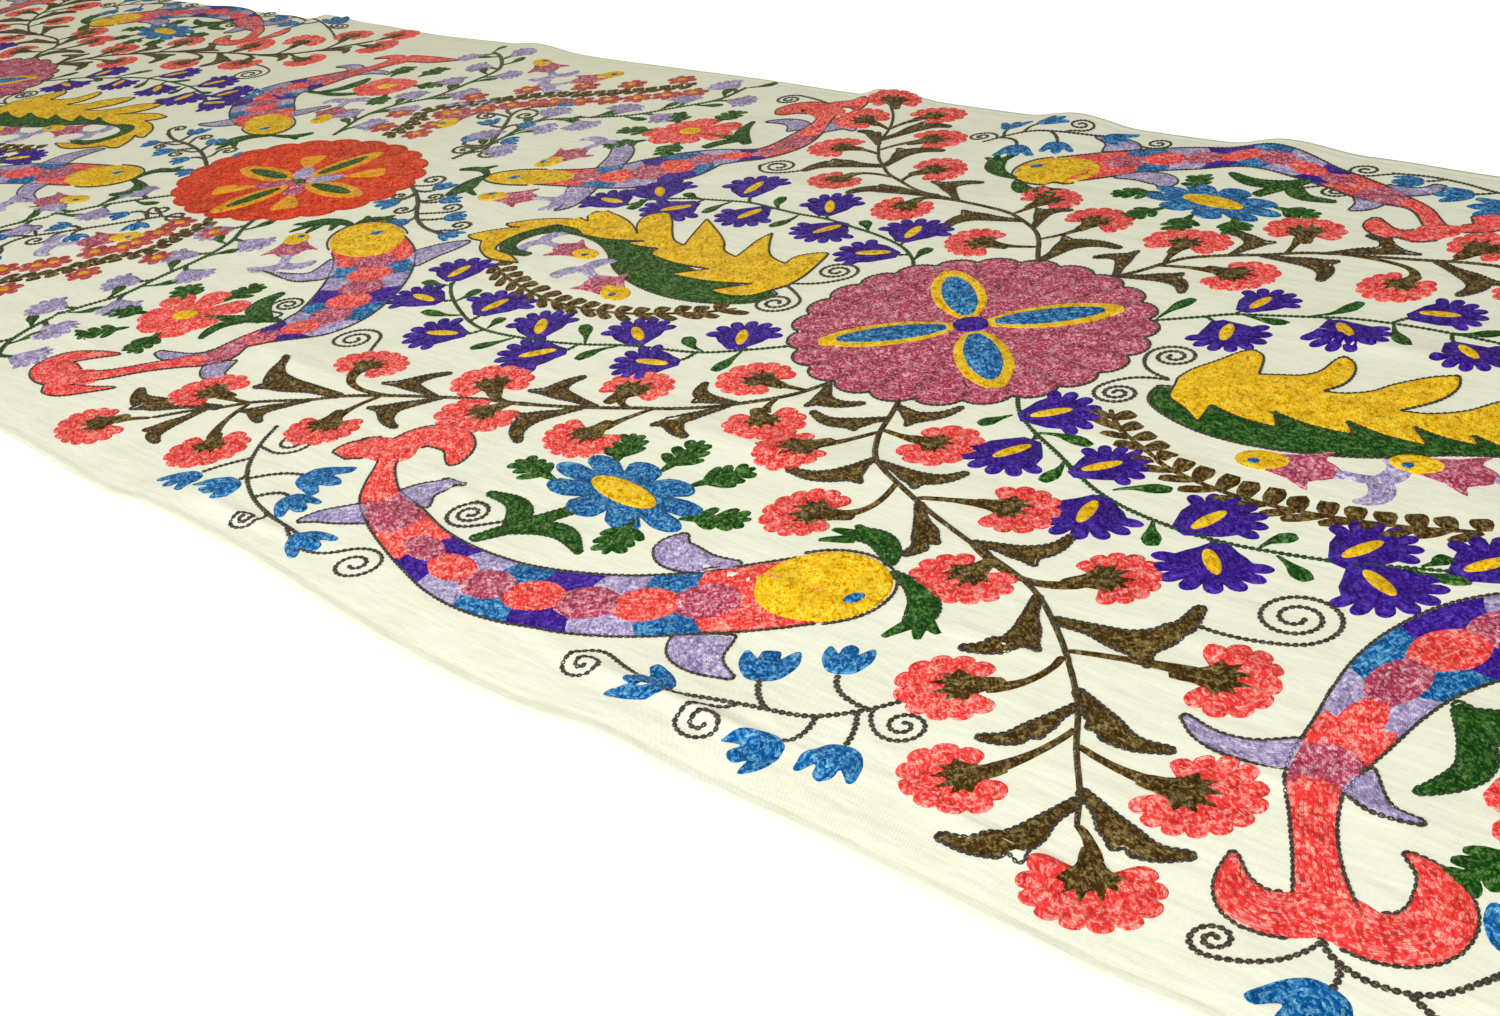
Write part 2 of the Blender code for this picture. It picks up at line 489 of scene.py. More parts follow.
class Needlework:
    """Lays fills and chains of stitches on the cloth, and makes a mesh of each thread.

    A fill rises from its rim in three levels, as shares of its height, at two distances in from
    the rim, in metres. Beyond them it is level.
    """

    RIM_LEVELS = (-0.30, 0.62, 0.94)
    RIM_PLACES = (0.0010, 0.0026)
    NARROWEST = 0.0005

    def __init__(self, cloth: Cloth) -> None:
        """Start on bare cloth.

        Args:
            cloth: The cloth that is worked on.
        """
        self.cloth = cloth
        self.bundles: dict = {}
        self.section = ""
        self.random = np.random.default_rng(SEED)

    def bundle(self, thread: Thread, lay: Lay) -> Bundle:
        """The stitches of a thread and lay, and for chains of a section of the cloth too."""
        section = self.section if thread is Thread.CHARCOAL else ""
        return self.bundles.setdefault((thread, lay, section), Bundle())

    def lift(self, layer: float) -> float:
        """Height that a layer adds, a little uneven."""
        return layer * LAYER_RISE + self.random.uniform(0, LIFT_SPREAD)

    @staticmethod
    def raised(level: np.ndarray, lift: float) -> np.ndarray:
        """Heights of a fill's points over the cloth, in metres, from their levels."""
        return level * FILL_HEIGHT + np.where(level > 0, lift, 0.0)

    def ruled(self, spot: Spot, one: np.ndarray, other: np.ndarray, thread: Thread,
              layer: float = 0.0) -> None:
        """Fill the cloth between two edges with rows that run along them.

        Args:
            spot: Where the motif is.
            one: Points along one edge.
            other: As many points along the other edge.
            thread: The thread.
            layer: How many layers it is worked over.
        """
        a = spot.lay(one)
        b = spot.lay(other)
        middle = (a + b) / 2
        side = side_normals(middle)
        if np.sum((a - b) * side) < 0:
            a, b = b, a
        narrow = (np.linalg.norm(a - b, axis=1) < self.NARROWEST)[:, None]
        a = np.where(narrow, middle + side * self.NARROWEST / 2, a)
        b = np.where(narrow, middle - side * self.NARROWEST / 2, b)
        width = np.linalg.norm(a - b, axis=1)
        first, second = (
            np.minimum(place / width, most) for place, most in zip(self.RIM_PLACES, (0.17, 0.34))
        )
        none = 0 * width
        share = np.stack([none, first, second, none + 0.5, 1 - second, 1 - first, none + 1], axis=1)
        low, mid, high = self.RIM_LEVELS
        level = np.array([low, mid, high, 1.0, high, mid, low])[None, :] * np.ones((len(a), 1))
        level *= np.minimum(1.0, width / 0.0035)[:, None] * 0.35 + 0.65
        level[0] = low
        level[-1] = low
        place = a[:, None, :] * (1 - share[..., None]) + b[:, None, :] * share[..., None]
        along = arc_lengths(middle)[:, None] * np.ones_like(share)
        coords = np.stack([along, (share - 0.5) * width[:, None]], axis=-1)
        self.grid(place, level, coords, thread, layer)

    def grid(self, place: np.ndarray, level: np.ndarray, coords: np.ndarray, thread: Thread,
             layer: float) -> None:
        """Add a grid of points as quads, with rows of stitches along it.

        Args:
            place: The places on the cloth, rows by columns.
            level: Their heights as shares of a fill's height.
            coords: Their stitch coordinates.
            thread: The thread.
            layer: How many layers it is worked over.
        """
        points = np.dstack([place, self.raised(level, self.lift(layer))]).reshape(-1, 3)
        number = np.arange(level.size).reshape(level.shape)
        faces = np.stack([number[:-1, :-1], number[1:, :-1], number[1:, 1:], number[:-1, 1:]], axis=-1)
        faces = self.face_up(points, faces.reshape(-1, 4))
        offset = self.random.uniform(-3, 3, 2)
        coords = coords.reshape(-1, 2) + np.array([offset[0], 0.0])
        tone = np.full(len(points), self.random.uniform(*TONE_RANGE))
        self.bundle(thread, Lay.ROWS).add(points, faces, coords, tone)

    @staticmethod
    def face_up(points: np.ndarray, faces: np.ndarray) -> np.ndarray:
        """Turn faces so that they look up from the cloth.

        Args:
            points: Their points.
            faces: Rows of point numbers.

        Returns:
            The faces, turned over where most look down.
        """
        a, b, c = (points[faces[:, k], :2] for k in (0, 1, 2))
        area = (b - a)[:, 0] * (c - a)[:, 1] - (b - a)[:, 1] * (c - a)[:, 0]
        return faces[:, ::-1] if np.sum(area) < 0 else faces

    def strip(self, spot: Spot, spine: list, thread: Thread, layer: float = 0.0,
              per_span: int = 6, step: float = 0.006) -> np.ndarray:
        """Fill a long shape along a curved spine.

        Args:
            spot: Where the motif is.
            spine: u, v and half width at a few points.
            thread: The thread.
            layer: How many layers it is worked over.
            per_span: Smoothness of the curve.
            step: Length of a mesh row, in metres.

        Returns:
            The shape's outline, as one path around it.
        """
        path = evenly(smooth_path(spine, per_span), step / spot.scale, 4)
        half = np.maximum(path[:, 2:3], 0.0)
        side = side_normals(path)
        one = path[:, :2] + side * half
        other = path[:, :2] - side * half
        self.ruled(spot, one, other, thread, layer)
        return np.vstack([one, other[::-1]])

    def patch(self, spot: Spot, rim: np.ndarray, thread: Thread, layer: float = 0.0,
              centre: tuple | None = None, ring: float = 0.014, puckered: float = 0.0) -> None:
        """Fill a closed shape with rings of stitches that follow its rim.

        Args:
            spot: Where the motif is.
            rim: The points around it, which its centre sees.
            thread: The thread.
            layer: How many layers it is worked over.
            centre: Its centre, or None for the mean of the rim.
            ring: Widest mesh ring, in metres.
            puckered: Depth of the valleys that run in from the rim's notches, as a share; the valleys
                are also painted darker, as painted shade.
        """
        edge = spot.lay(rim)
        heart = edge.mean(axis=0) if centre is None else spot.lay(np.array([centre]))[0]
        spoke = edge - heart
        reach = np.linalg.norm(spoke, axis=1)
        mean = float(reach.mean())
        inner = max(2, int(math.ceil(mean / ring)))
        first, second = self.RIM_PLACES
        shares = [1.0, 1 - min(first / mean, 0.15), 1 - min(second / mean, 0.32)]
        shares += [shares[2] * (1 - k / inner) for k in range(1, inner)]
        levels = list(self.RIM_LEVELS) + [1.0] * (inner - 1)
        share = np.array(shares)[:, None]
        angle = np.arctan2(spoke[:, 1], spoke[:, 0])
        place = heart + share[..., None] * spoke[None]
        coords = mean * share[..., None] * np.stack([np.cos(angle), np.sin(angle)], axis=-1)[None]
        rings, around = len(shares), len(rim)
        lift = self.lift(layer)
        level = np.array(levels)[:, None] * np.ones((1, around))
        notch = (reach.max() - reach) / max(float(np.ptp(reach)), 1e-6)
        valley = puckered * notch ** 3 * np.clip((share - 0.3) / 0.4, 0, 1)
        level = level - valley * (level > 0.5)
        slope = np.dstack([place, self.raised(level, lift)]).reshape(-1, 3)
        points = np.vstack([slope, [[*heart, FILL_HEIGHT + lift]]])
        coords = np.vstack([coords.reshape(-1, 2), [[0.0, 0.0]]])
        number = np.arange(rings * around).reshape(rings, around)
        after = np.roll(number, -1, axis=1)
        quads = np.stack([number[:-1], after[:-1], after[1:], number[1:]], axis=-1).reshape(-1, 4)
        fan = np.stack([number[-1], after[-1], np.full(around, rings * around)], axis=-1)
        # The valleys' tone is darkened too: painted shade in the valleys
        tone = np.append((1 - 0.7 * valley).ravel(), 1.0) * self.random.uniform(*TONE_RANGE)
        bundle = self.bundle(thread, Lay.RINGS)
        start = bundle.count
        bundle.add(points, self.face_up(points, quads), coords, tone)
        bundle.faces.extend((self.face_up(points, fan) + start).tolist())

    def fill(self, spot: Spot, outline: np.ndarray, thread: Thread, turn: float = 0.0,
             layer: float = 0.0) -> None:
        """Fill any closed outline with straight rows of stitches.

        Args:
            spot: Where the motif is.
            outline: The points around it.
            thread: The thread.
            turn: Direction of the rows on the cloth, in degrees.
            layer: How many layers it is worked over.
        """
        edge = spot.lay(outline)
        edge = edge[np.linalg.norm(edge - np.roll(edge, 1, axis=0), axis=1) > 0.0004]
        after = np.roll(edge, -1, axis=0)
        if np.sum(edge[:, 0] * after[:, 1] - edge[:, 1] * after[:, 0]) < 0:
            edge = edge[::-1]
        along = np.roll(edge, -1, axis=0) - np.roll(edge, 1, axis=0)
        along /= np.maximum(np.linalg.norm(along, axis=1, keepdims=True), 1e-9)
        inward = np.stack([-along[:, 1], along[:, 0]], axis=1)
        low, high = edge.min(axis=0), edge.max(axis=0)
        marks = (np.arange(start, end, 0.007) for start, end in zip(low, high))
        field = np.stack(np.meshgrid(*marks), axis=-1).reshape(-1, 2)
        first, second = self.RIM_PLACES
        inside = np.vstack([edge + inward * first, edge + inward * second, field])
        least = np.repeat([0.0008, 0.0022, 0.0044], [len(edge), len(edge), len(field)])
        inside = inside[clearance(inside, edge) > least]
        ring = [(k, (k + 1) % len(edge)) for k in range(len(edge))]
        flat = [Vector(point) for point in np.vstack([edge, inside]).tolist()]
        result = delaunay_2d_cdt(flat, ring, [], 1, 1e-6)
        place = np.array([tuple(point) for point in result[0]])
        depth = np.maximum(clearance(place, edge), 0.0)
        level = np.interp(depth, [0.0, first, second, 0.0036], [*self.RIM_LEVELS, 1.0])
        height = self.raised(level, self.lift(layer))
        way, over = heading(turn), heading(turn + 90)
        coords = np.stack([place @ way + self.random.uniform(-3, 3), place @ over], axis=1)
        points = np.hstack([place, height[:, None]])
        tone = np.full(len(points), self.random.uniform(*TONE_RANGE))
        faces = self.face_up(points, np.array(result[2]))
        self.bundle(thread, Lay.ROWS).add(points, faces, coords, tone)

    def chain(self, spot: Spot, path: np.ndarray, thread: Thread = Thread.CHARCOAL,
              layer: float = 0.0, width: float = STITCH_WIDTH, closed: bool = False) -> None:
        """Work a line of chain stitch, each stitch a loop of thread.

        Args:
            spot: Where the motif is.
            path: The line's points.
            thread: The thread.
            layer: How many layers it is worked over.
            width: Width of a stitch, in metres.
            closed: Whether the line returns to its first point.
        """
        if closed:
            path = np.vstack([path, path[:1]])
        line = evenly(spot.lay(path), STITCH_LENGTH, 1)
        start, end = line[:-1], line[1:]
        count = len(start)
        along = end - start
        step = np.linalg.norm(along, axis=1)
        angle = np.arctan2(along[:, 1], along[:, 0]) + self.random.normal(0, 0.05, count)
        wide = width * self.random.uniform(0.9, 1.1, count)
        loop = self.link()
        x = loop[None, :, 0] * step[:, None]
        y = loop[None, :, 1] * wide[:, None]
        cosine, sine = np.cos(angle)[:, None], np.sin(angle)[:, None]
        middle = (start + end) / 2
        points = np.stack([
            middle[:, :1] + x * cosine - y * sine,
            middle[:, 1:] + x * sine + y * cosine,
            loop[None, :, 2] * CHAIN_HEIGHT + layer * LAYER_RISE + 0 * x,
        ], axis=-1).reshape(-1, 3)
        size = len(loop)
        around = size // 2
        foot = np.arange(around)
        after = np.roll(foot, -1)
        walls = np.stack([foot, after, after + around, foot + around], axis=-1)
        eye = np.stack([foot + around, after + around, np.full(around, size - 1)], axis=-1)
        twist = [(place / around, height) for height in (0.0, 0.6) for place in foot]
        offset = np.repeat(self.random.uniform(0, 9, (count, 1)), size, axis=0)
        coords = np.tile(np.array([*twist, (0.5, 1.0)]), (count, 1)) + offset
        tone = np.repeat(self.random.uniform(0.75, 1.25, count), size)
        bundle = self.bundle(thread, Lay.LINKS)
        first = bundle.count
        shift = size * np.arange(count)[:, None, None]
        wall_faces = (self.face_up(points[:size], walls)[None] + shift).reshape(-1, 4)
        eye_faces = (self.face_up(points[:size], eye)[None] + shift).reshape(-1, 3)
        bundle.add(points, wall_faces, coords, tone)
        bundle.faces.extend((eye_faces + first).tolist())

    @staticmethod
    def link() -> np.ndarray:
        """One loop of chain stitch, lying along x.

        Returns:
            Its outer foot, its crest and its open eye, in shares of its length, width and height.
        """
        foot = ((-0.62, 0.00), (-0.18, 0.48), (0.30, 0.50), (0.62, 0.00), (0.30, -0.50), (-0.18, -0.48))
        crest = ((-0.44, 0.00), (-0.12, 0.30), (0.24, 0.32), (0.44, 0.00), (0.24, -0.32), (-0.12, -0.30))
        eye = (0.06, 0.0, -0.1)
        rings = [
            (x, y, height + 0.2 * x) for ring, height in ((foot, -0.15), (crest, 1.0)) for x, y in ring
        ]
        return np.array([*rings, eye])

    def mesh(self, name: str, bundle: Bundle) -> bpy.types.Object:
        """Make the mesh of a bundle, settled on the cloth's face.

        Args:
            name: The object's name.
            bundle: The stitches.

        Returns:
            The new object.
        """
        points = np.vstack(bundle.points)
        points[:, 2] += self.cloth.face(points[:, 0], points[:, 1])
        mesh = bpy.data.meshes.new(name)
        mesh.from_pydata(points.tolist(), [], bundle.faces)
        corner_points = np.zeros(len(mesh.loops), np.int32)
        mesh.loops.foreach_get("vertex_index", corner_points)
        layer = mesh.uv_layers.new(name="stitches")
        coords = np.vstack(bundle.coords)[corner_points]
        layer.uv.foreach_set("vector", coords.astype(np.float32).ravel())
        tone = mesh.attributes.new("tone", "FLOAT", "POINT")
        tone.data.foreach_set("value", np.concatenate(bundle.tones).astype(np.float32))
        mesh.shade_smooth()
        piece = bpy.data.objects.new(name, mesh)
        bpy.context.scene.collection.objects.link(piece)
        return piece


def bend(start: tuple, control: tuple, end: tuple, steps: int = 12) -> np.ndarray:
    """A simple curve from start to end, drawn towards a control point.

    Args:
        start: First point.
        control: The point that it bends towards.
        end: Last point.
        steps: Spans along it.

    Returns:
        The points of the curve.
    """
    t = np.linspace(0, 1, steps + 1)[:, None]
    start, control, end = (np.array(point, float)[:2] for point in (start, control, end))
    return start * (1 - t) ** 2 + 2 * control * t * (1 - t) + end * t ** 2


def heading(degrees: float) -> np.ndarray:
    """The unit vector that points along an angle."""
    return np.array([math.cos(math.radians(degrees)), math.sin(math.radians(degrees))])


def clearance(points: np.ndarray, edge: np.ndarray) -> np.ndarray:
    """How far points lie inside a closed outline, negative where they are outside.

    Args:
        points: The points.
        edge: The outline's points.

    Returns:
        The distance of each point.
    """
    step = np.roll(edge, -1, axis=0) - edge
    gap = points[:, None, :] - edge[None]
    along = np.sum(gap * step[None], axis=-1) / np.maximum(np.sum(step ** 2, axis=-1), NO_LENGTH)
    share = np.clip(along, 0, 1)
    distance = np.linalg.norm(gap - share[..., None] * step[None], axis=-1).min(axis=1)
    x, y = points[:, None, 0], points[:, None, 1]
    start_x, start_y = edge[None, :, 0], edge[None, :, 1]
    spans = (start_y > y) != (start_y + step[None, :, 1] > y)
    rise = np.where(np.abs(step[:, 1]) > NO_LENGTH, step[:, 1], NO_LENGTH)
    cross = start_x + (y - start_y) / rise[None] * step[None, :, 0]
    inside = np.sum(spans & (cross > x), axis=1) % 2 == 1
    return np.where(inside, distance, -distance)


def cornered(parts: list, step: float = 0.03) -> np.ndarray:
    """A closed outline made of smooth curves that meet at corners.

    Args:
        parts: The curves, each a few given points. The next one starts where one ends.
        step: The distance between points.

    Returns:
        The points around the outline.
    """
    curves = [evenly(smooth_path(part, 6), step)[:-1] for part in parts]
    return np.vstack(curves)


def oval(rx: float, ry: float, turn: float = 0.0, steps: int = 28) -> np.ndarray:
    """Points round an oval about the middle.

    Args:
        rx: Half its length.
        ry: Half its width.
        turn: Its turn in degrees.
        steps: How many points.

    Returns:
        The points.
    """
    angle = np.linspace(0, 2 * math.pi, steps, endpoint=False)
    along, across = heading(turn), heading(turn + 90)
    return rx * np.cos(angle)[:, None] * along + ry * np.sin(angle)[:, None] * across


def fan(lobes: int, spread: float, inner: float, outer: float, wide: float, base: float,
        sharp: float = 0.6, steps: int = 7) -> np.ndarray:
    """The rim of a half-open bloom that faces +v.

    Args:
        lobes: Number of petal ends.
        spread: Angle from the first to the last, in degrees.
        inner: Radius at the notches.
        outer: Radius at the petal ends.
        wide: Stretch across.
        base: Radius of the rounded side by the stalk.
        sharp: Shape of a lobe: small is round, above 1 is pointed.
        steps: Points to a lobe.

    Returns:
        The points round it.
    """
    share = np.linspace(0, 1, lobes * steps + 1)
    angle = np.radians(90 + spread / 2 - spread * share)
    radius = inner + (outer - inner) * np.abs(np.sin(math.pi * lobes * share)) ** sharp
    rim = np.stack([wide * radius * np.cos(angle), radius * np.sin(angle)], axis=1)
    rest = np.radians(np.linspace(90 - spread / 2, 90 + spread / 2 - 360, 8)[1:-1])
    back = np.stack([wide * base * np.cos(rest), base * np.sin(rest)], axis=1)
    return np.vstack([rim, back])


def scallops(radius: float, swell: float, count: int, sharp: float = 0.6, steps: int = 8,
             turn: float = 0.0) -> np.ndarray:
    """Points round a scalloped disc.

    Args:
        radius: Radius at the notches.
        swell: How far each scallop stands out.
        count: Number of scallops.
        sharp: Shape of a scallop: small is round, above 1 is pointed.
        steps: Points to a scallop.
        turn: Its turn in degrees.

    Returns:
        The points.
    """
    share = np.linspace(0, 1, count * steps, endpoint=False)
    angle = 2 * math.pi * share + math.radians(turn)
    reach = radius + swell * np.abs(np.sin(math.pi * count * share)) ** sharp
    return np.stack([reach * np.cos(angle), reach * np.sin(angle)], axis=1)


def nearest(path: np.ndarray, point: np.ndarray) -> int:
    """Number of the path's point that lies closest to a point."""
    return int(np.argmin(np.linalg.norm(path[:, :2] - point[:2], axis=1)))


def between(path: np.ndarray, start: float, end: float, count: int) -> np.ndarray:
    """Even points on a stretch of a path.

    Args:
        path: The path.
        start: Share of its length to start at.
        end: Share of its length to end at.
        count: How many points.

    Returns:
        The points, with the further values that the path carries.
    """
    along = arc_lengths(path) / arc_lengths(path)[-1]
    wanted = np.linspace(start, end, count)
    return np.stack([np.interp(wanted, along, path[:, k]) for k in range(path.shape[1])], axis=1)


class Motif:
    """A part of the design, which is worked on the cloth at a spot."""

    def work(self, needle: Needlework, spot: Spot) -> None:
        """Work the motif.

        Args:
            needle: Where the stitches are laid.
            spot: Where the motif is.
        """
        raise NotImplementedError


@dataclass(frozen=True)
class Spiral(Motif):
    """A curled tendril in a single line of chain stitch."""

    radius: float = 0.15
    turns: float = 2.2
    entry: float = 200.0
    hand: float = 1.0
    root: tuple | None = None
    shrink: float = 0.16
    girth: float = 1.55

    def work(self, needle: Needlework, spot: Spot) -> None:
        """Work the curl from its tail inwards.

        Args:
            needle: Where the stitches are laid.
            spot: The curl's centre.
        """
        share = np.linspace(0, 1, int(26 * self.turns))
        angle = np.radians(self.entry + self.hand * 360 * self.turns * share)
        reach = self.radius * (1 - (1 - self.shrink) * share ** 0.85)
        curl = np.stack([reach * np.cos(angle), reach * np.sin(angle)], axis=1)
        if self.root is not None:
            tangent = curl[1] - curl[0]
            tangent /= np.linalg.norm(tangent)
            gap = np.linalg.norm(np.array(self.root) - curl[0])
            curl = np.vstack([bend(self.root, curl[0] - tangent * 0.55 * gap, curl[0])[:-1], curl])
        needle.chain(spot, curl, width=self.girth * STITCH_WIDTH)


@dataclass(frozen=True)
class Tulip(Motif):
    """A small blue flower with three blunt petals that face +v."""

    thread: Thread = Thread.BLUE

    def work(self, needle: Needlework, spot: Spot) -> None:
        """Work the cup and its three petals.

        Args:
            needle: Where the stitches are laid.
            spot: The flower's middle.
        """
        wild = needle.random.uniform(0.85, 1.15, 4)
        half = np.array([
            (0.0, -0.115), (0.065, -0.10), (0.108, -0.045), (0.132, 0.02), (0.140 * wild[0], 0.092),
            (0.105, 0.105), (0.072, 0.055), (0.050, 0.052), (0.042, 0.10), (0.012, 0.125 * wild[1]),
        ])
        other = half[:0:-1] * np.array([-wild[2], 1.0])
        rim = smooth_path(np.vstack([half, other]), 3, closed=True)
        needle.patch(spot, rim, self.thread, centre=(0.0, -0.02))


@dataclass(frozen=True)
class Carnation(Motif):
    """A coral bloom that faces +v, in an olive calyx."""

    lobes: int = 11
    petals: Thread = Thread.CORAL
    calyx: Thread = Thread.OLIVE

    def work(self, needle: Needlework, spot: Spot) -> None:
        """Work the lobed bloom, then the calyx over it.

        Args:
            needle: Where the stitches are laid.
            spot: The bloom's middle.
        """
        lobes = self.lobes + int(needle.random.integers(-2, 2))
        wide = needle.random.uniform(1.02, 1.2)
        spread = needle.random.uniform(262, 318)
        rim = fan(lobes, spread, inner=0.176, outer=0.204, wide=wide, base=0.10, sharp=0.5)
        angle = np.arctan2(rim[:, 1:], rim[:, :1])
        rim *= 1 + 0.06 * np.sin(2.0 * angle + needle.random.uniform(0, 6))
        needle.patch(spot, rim, self.petals, centre=(0.0, 0.01), ring=0.007, puckered=0.5)
        teeth = [(0.030, -0.215), (0.044, -0.14), (0.072, -0.085), (0.122, -0.045), (0.088, -0.020),
                 (0.100, 0.035), (0.056, 0.012), (0.040, 0.085), (0.016, 0.030)]
        outline = smooth_path(teeth + [(-u, v) for u, v in reversed(teeth)], 2, closed=True)
        place = spot.at(0.0, 0.0, 90 + needle.random.uniform(-9, 9), needle.random.uniform(0.85, 1.1))
        needle.patch(place, outline, self.calyx, layer=1.2, centre=(0.0, -0.02))


@dataclass(frozen=True)
class IrisBloom(Motif):
    """A purple bloom with finger-like petals that face +v, round a gold bar."""

    petals: Thread = Thread.PURPLE
    heart: Thread = Thread.GOLD

    def work(self, needle: Needlework, spot: Spot) -> None:
        """Work the petals and the heart.

        Args:
            needle: Where the stitches are laid.
            spot: The bloom's middle.
        """
        wide = needle.random.uniform(0.95, 1.2)
        spread = needle.random.uniform(165, 225)
        rim = fan(int(spread / 25), spread, inner=0.152, outer=0.222, wide=wide, base=0.145,
                  sharp=0.55, steps=8)
        back = np.abs(np.arctan2(rim[:, 0], -rim[:, 1]))
        rim *= 1 + 0.35 * hump(back / 0.7)[:, None]
        needle.patch(spot, rim, self.petals, centre=(0.0, 0.01), ring=0.008, puckered=0.5)
        turn = 90 + needle.random.uniform(-30, 30)
        needle.patch(spot.at(0.0, -0.02), oval(0.112, 0.037, turn=turn, steps=20), self.heart, layer=1.2)


@dataclass(frozen=True)
class Sprig(Motif):
    """A dark green feathery leaf that faces +v."""

    reach: float = 0.175
    thread: Thread = Thread.GREEN

    def work(self, needle: Needlework, spot: Spot) -> None:
        """Work the fingers, then the rib over them.

        Args:
            needle: Where the stitches are laid.
            spot: The leaf's middle.
        """
        size = self.reach
        for number in range(3):
            for side in (-1, 1):
                foot = np.array([0.0, (-0.5 + 0.45 * number) * size])
                lean = 90 - side * needle.random.uniform(44, 58)
                reach = 0.86 - 0.12 * number
                tip = foot + heading(lean) * size * reach * needle.random.uniform(0.88, 1.1)
                blade = [(*foot, 0.026), (*(foot * 0.4 + tip * 0.6), 0.035), (*tip, 0.014)]
                needle.strip(spot, blade, self.thread, layer=0.3 * (number % 2), per_span=3, step=0.005)
        rib = [(0.0, -1.05 * size, 0.014), (0.0, -0.4 * size, 0.034), (0.0, 0.35 * size, 0.036),
               (0.0, 0.95 * size, 0.016)]
        needle.strip(spot, rib, self.thread, layer=0.6, per_span=3, step=0.006)


@dataclass(frozen=True)
class HornLeaf(Motif):
    """A stalked leaf that flares into a long blunt horn and a short barb."""

    root: tuple
    horn: tuple
    barb: tuple
    thread: Thread = Thread.OLIVE
    outline: Thread = Thread.CHARCOAL
    girth: float = 0.068

    def shape(self) -> np.ndarray:
        """Draw the leaf.

        Returns:
            Its outline, from its root along the horn and back past the barb.
        """
        root, horn, barb = (np.array(point, float) for point in (self.root, self.horn, self.barb))
        joint = root + 0.78 * (barb - root) + 0.20 * (horn - barb)
        girth = self.girth * float(np.clip(np.linalg.norm(horn - root) / 0.5, 0.72, 1.15))
        step = 0.026
        reach = horn - joint
        away = np.array([-reach[1], reach[0]])
        away *= np.sign(np.dot(away, joint - root)) or 1.0
        spine = [
            (*root, 0.32 * girth), (*(0.5 * (root + joint) - 0.05 * away), 0.46 * girth),
            (*joint, girth), (*(0.5 * (joint + horn) + 0.15 * away), 0.62 * girth),
            (*horn, 0.26 * girth),
        ]
        path = evenly(smooth_path(spine, 6), step)
        side = side_normals(path)
        edges = [path[:, :2] + side * path[:, 2:3], path[:, :2] - side * path[:, 2:3]]
        at = nearest(path, joint)
        if np.dot(barb - joint, side[at]) < 0:
            edges.reverse()
        far, near = edges
        barb = joint + 1.16 * (barb - joint)
        pointing = barb - joint
        pointing /= max(float(np.linalg.norm(pointing)), 1e-9)
        across = np.array([-pointing[1], pointing[0]])
        across *= np.sign(np.dot(across, horn - joint)) or 1.0
        waist = joint + 0.5 * (barb - joint)
        gap = max(1, int(round(0.8 * girth / step)))
        thick, thin = across * 0.5 * girth, across * 0.14 * girth
        prong = [waist + thick, barb + thin, barb - thin, waist - thick]
        return np.vstack([near, far[:at + gap:-1], prong, far[max(at - gap, 0)::-1]])

    def work(self, needle: Needlework, spot: Spot) -> None:
        """Work the leaf and the chain round it.

        Args:
            needle: Where the stitches are laid.
            spot: Where the vine is.
        """
        rim = self.shape()
        line = spot.lay(np.array([self.root, self.horn]))
        turn = math.degrees(math.atan2(line[1, 1] - line[0, 1], line[1, 0] - line[0, 0]))
        needle.fill(spot, rim, self.thread, turn)
        needle.chain(spot, rim, self.outline, layer=0.4, closed=True)


@dataclass(frozen=True)
class ClubLeaf(Motif):
    """A slim green leaf that thickens to a round end."""

    root: tuple
    tip: tuple
    girth: float = 0.046
    thread: Thread = Thread.GREEN

    def work(self, needle: Needlework, spot: Spot) -> None:
        """Work the leaf.

        Args:
            needle: Where the stitches are laid.
            spot: Where the vine is.
        """
        root, tip = np.array(self.root, float), np.array(self.tip, float)
        side = np.array([root[1] - tip[1], tip[0] - root[0]]) * needle.random.uniform(-0.12, 0.12)
        spine = [
            (*root, 0.008), (*(root * 0.65 + tip * 0.35 + side), 0.4 * self.girth),
            (*(root * 0.3 + tip * 0.7 + side * 0.8), self.girth), (*tip, 0.55 * self.girth),
        ]
        needle.strip(spot, spine, self.thread, per_span=5, step=0.005)


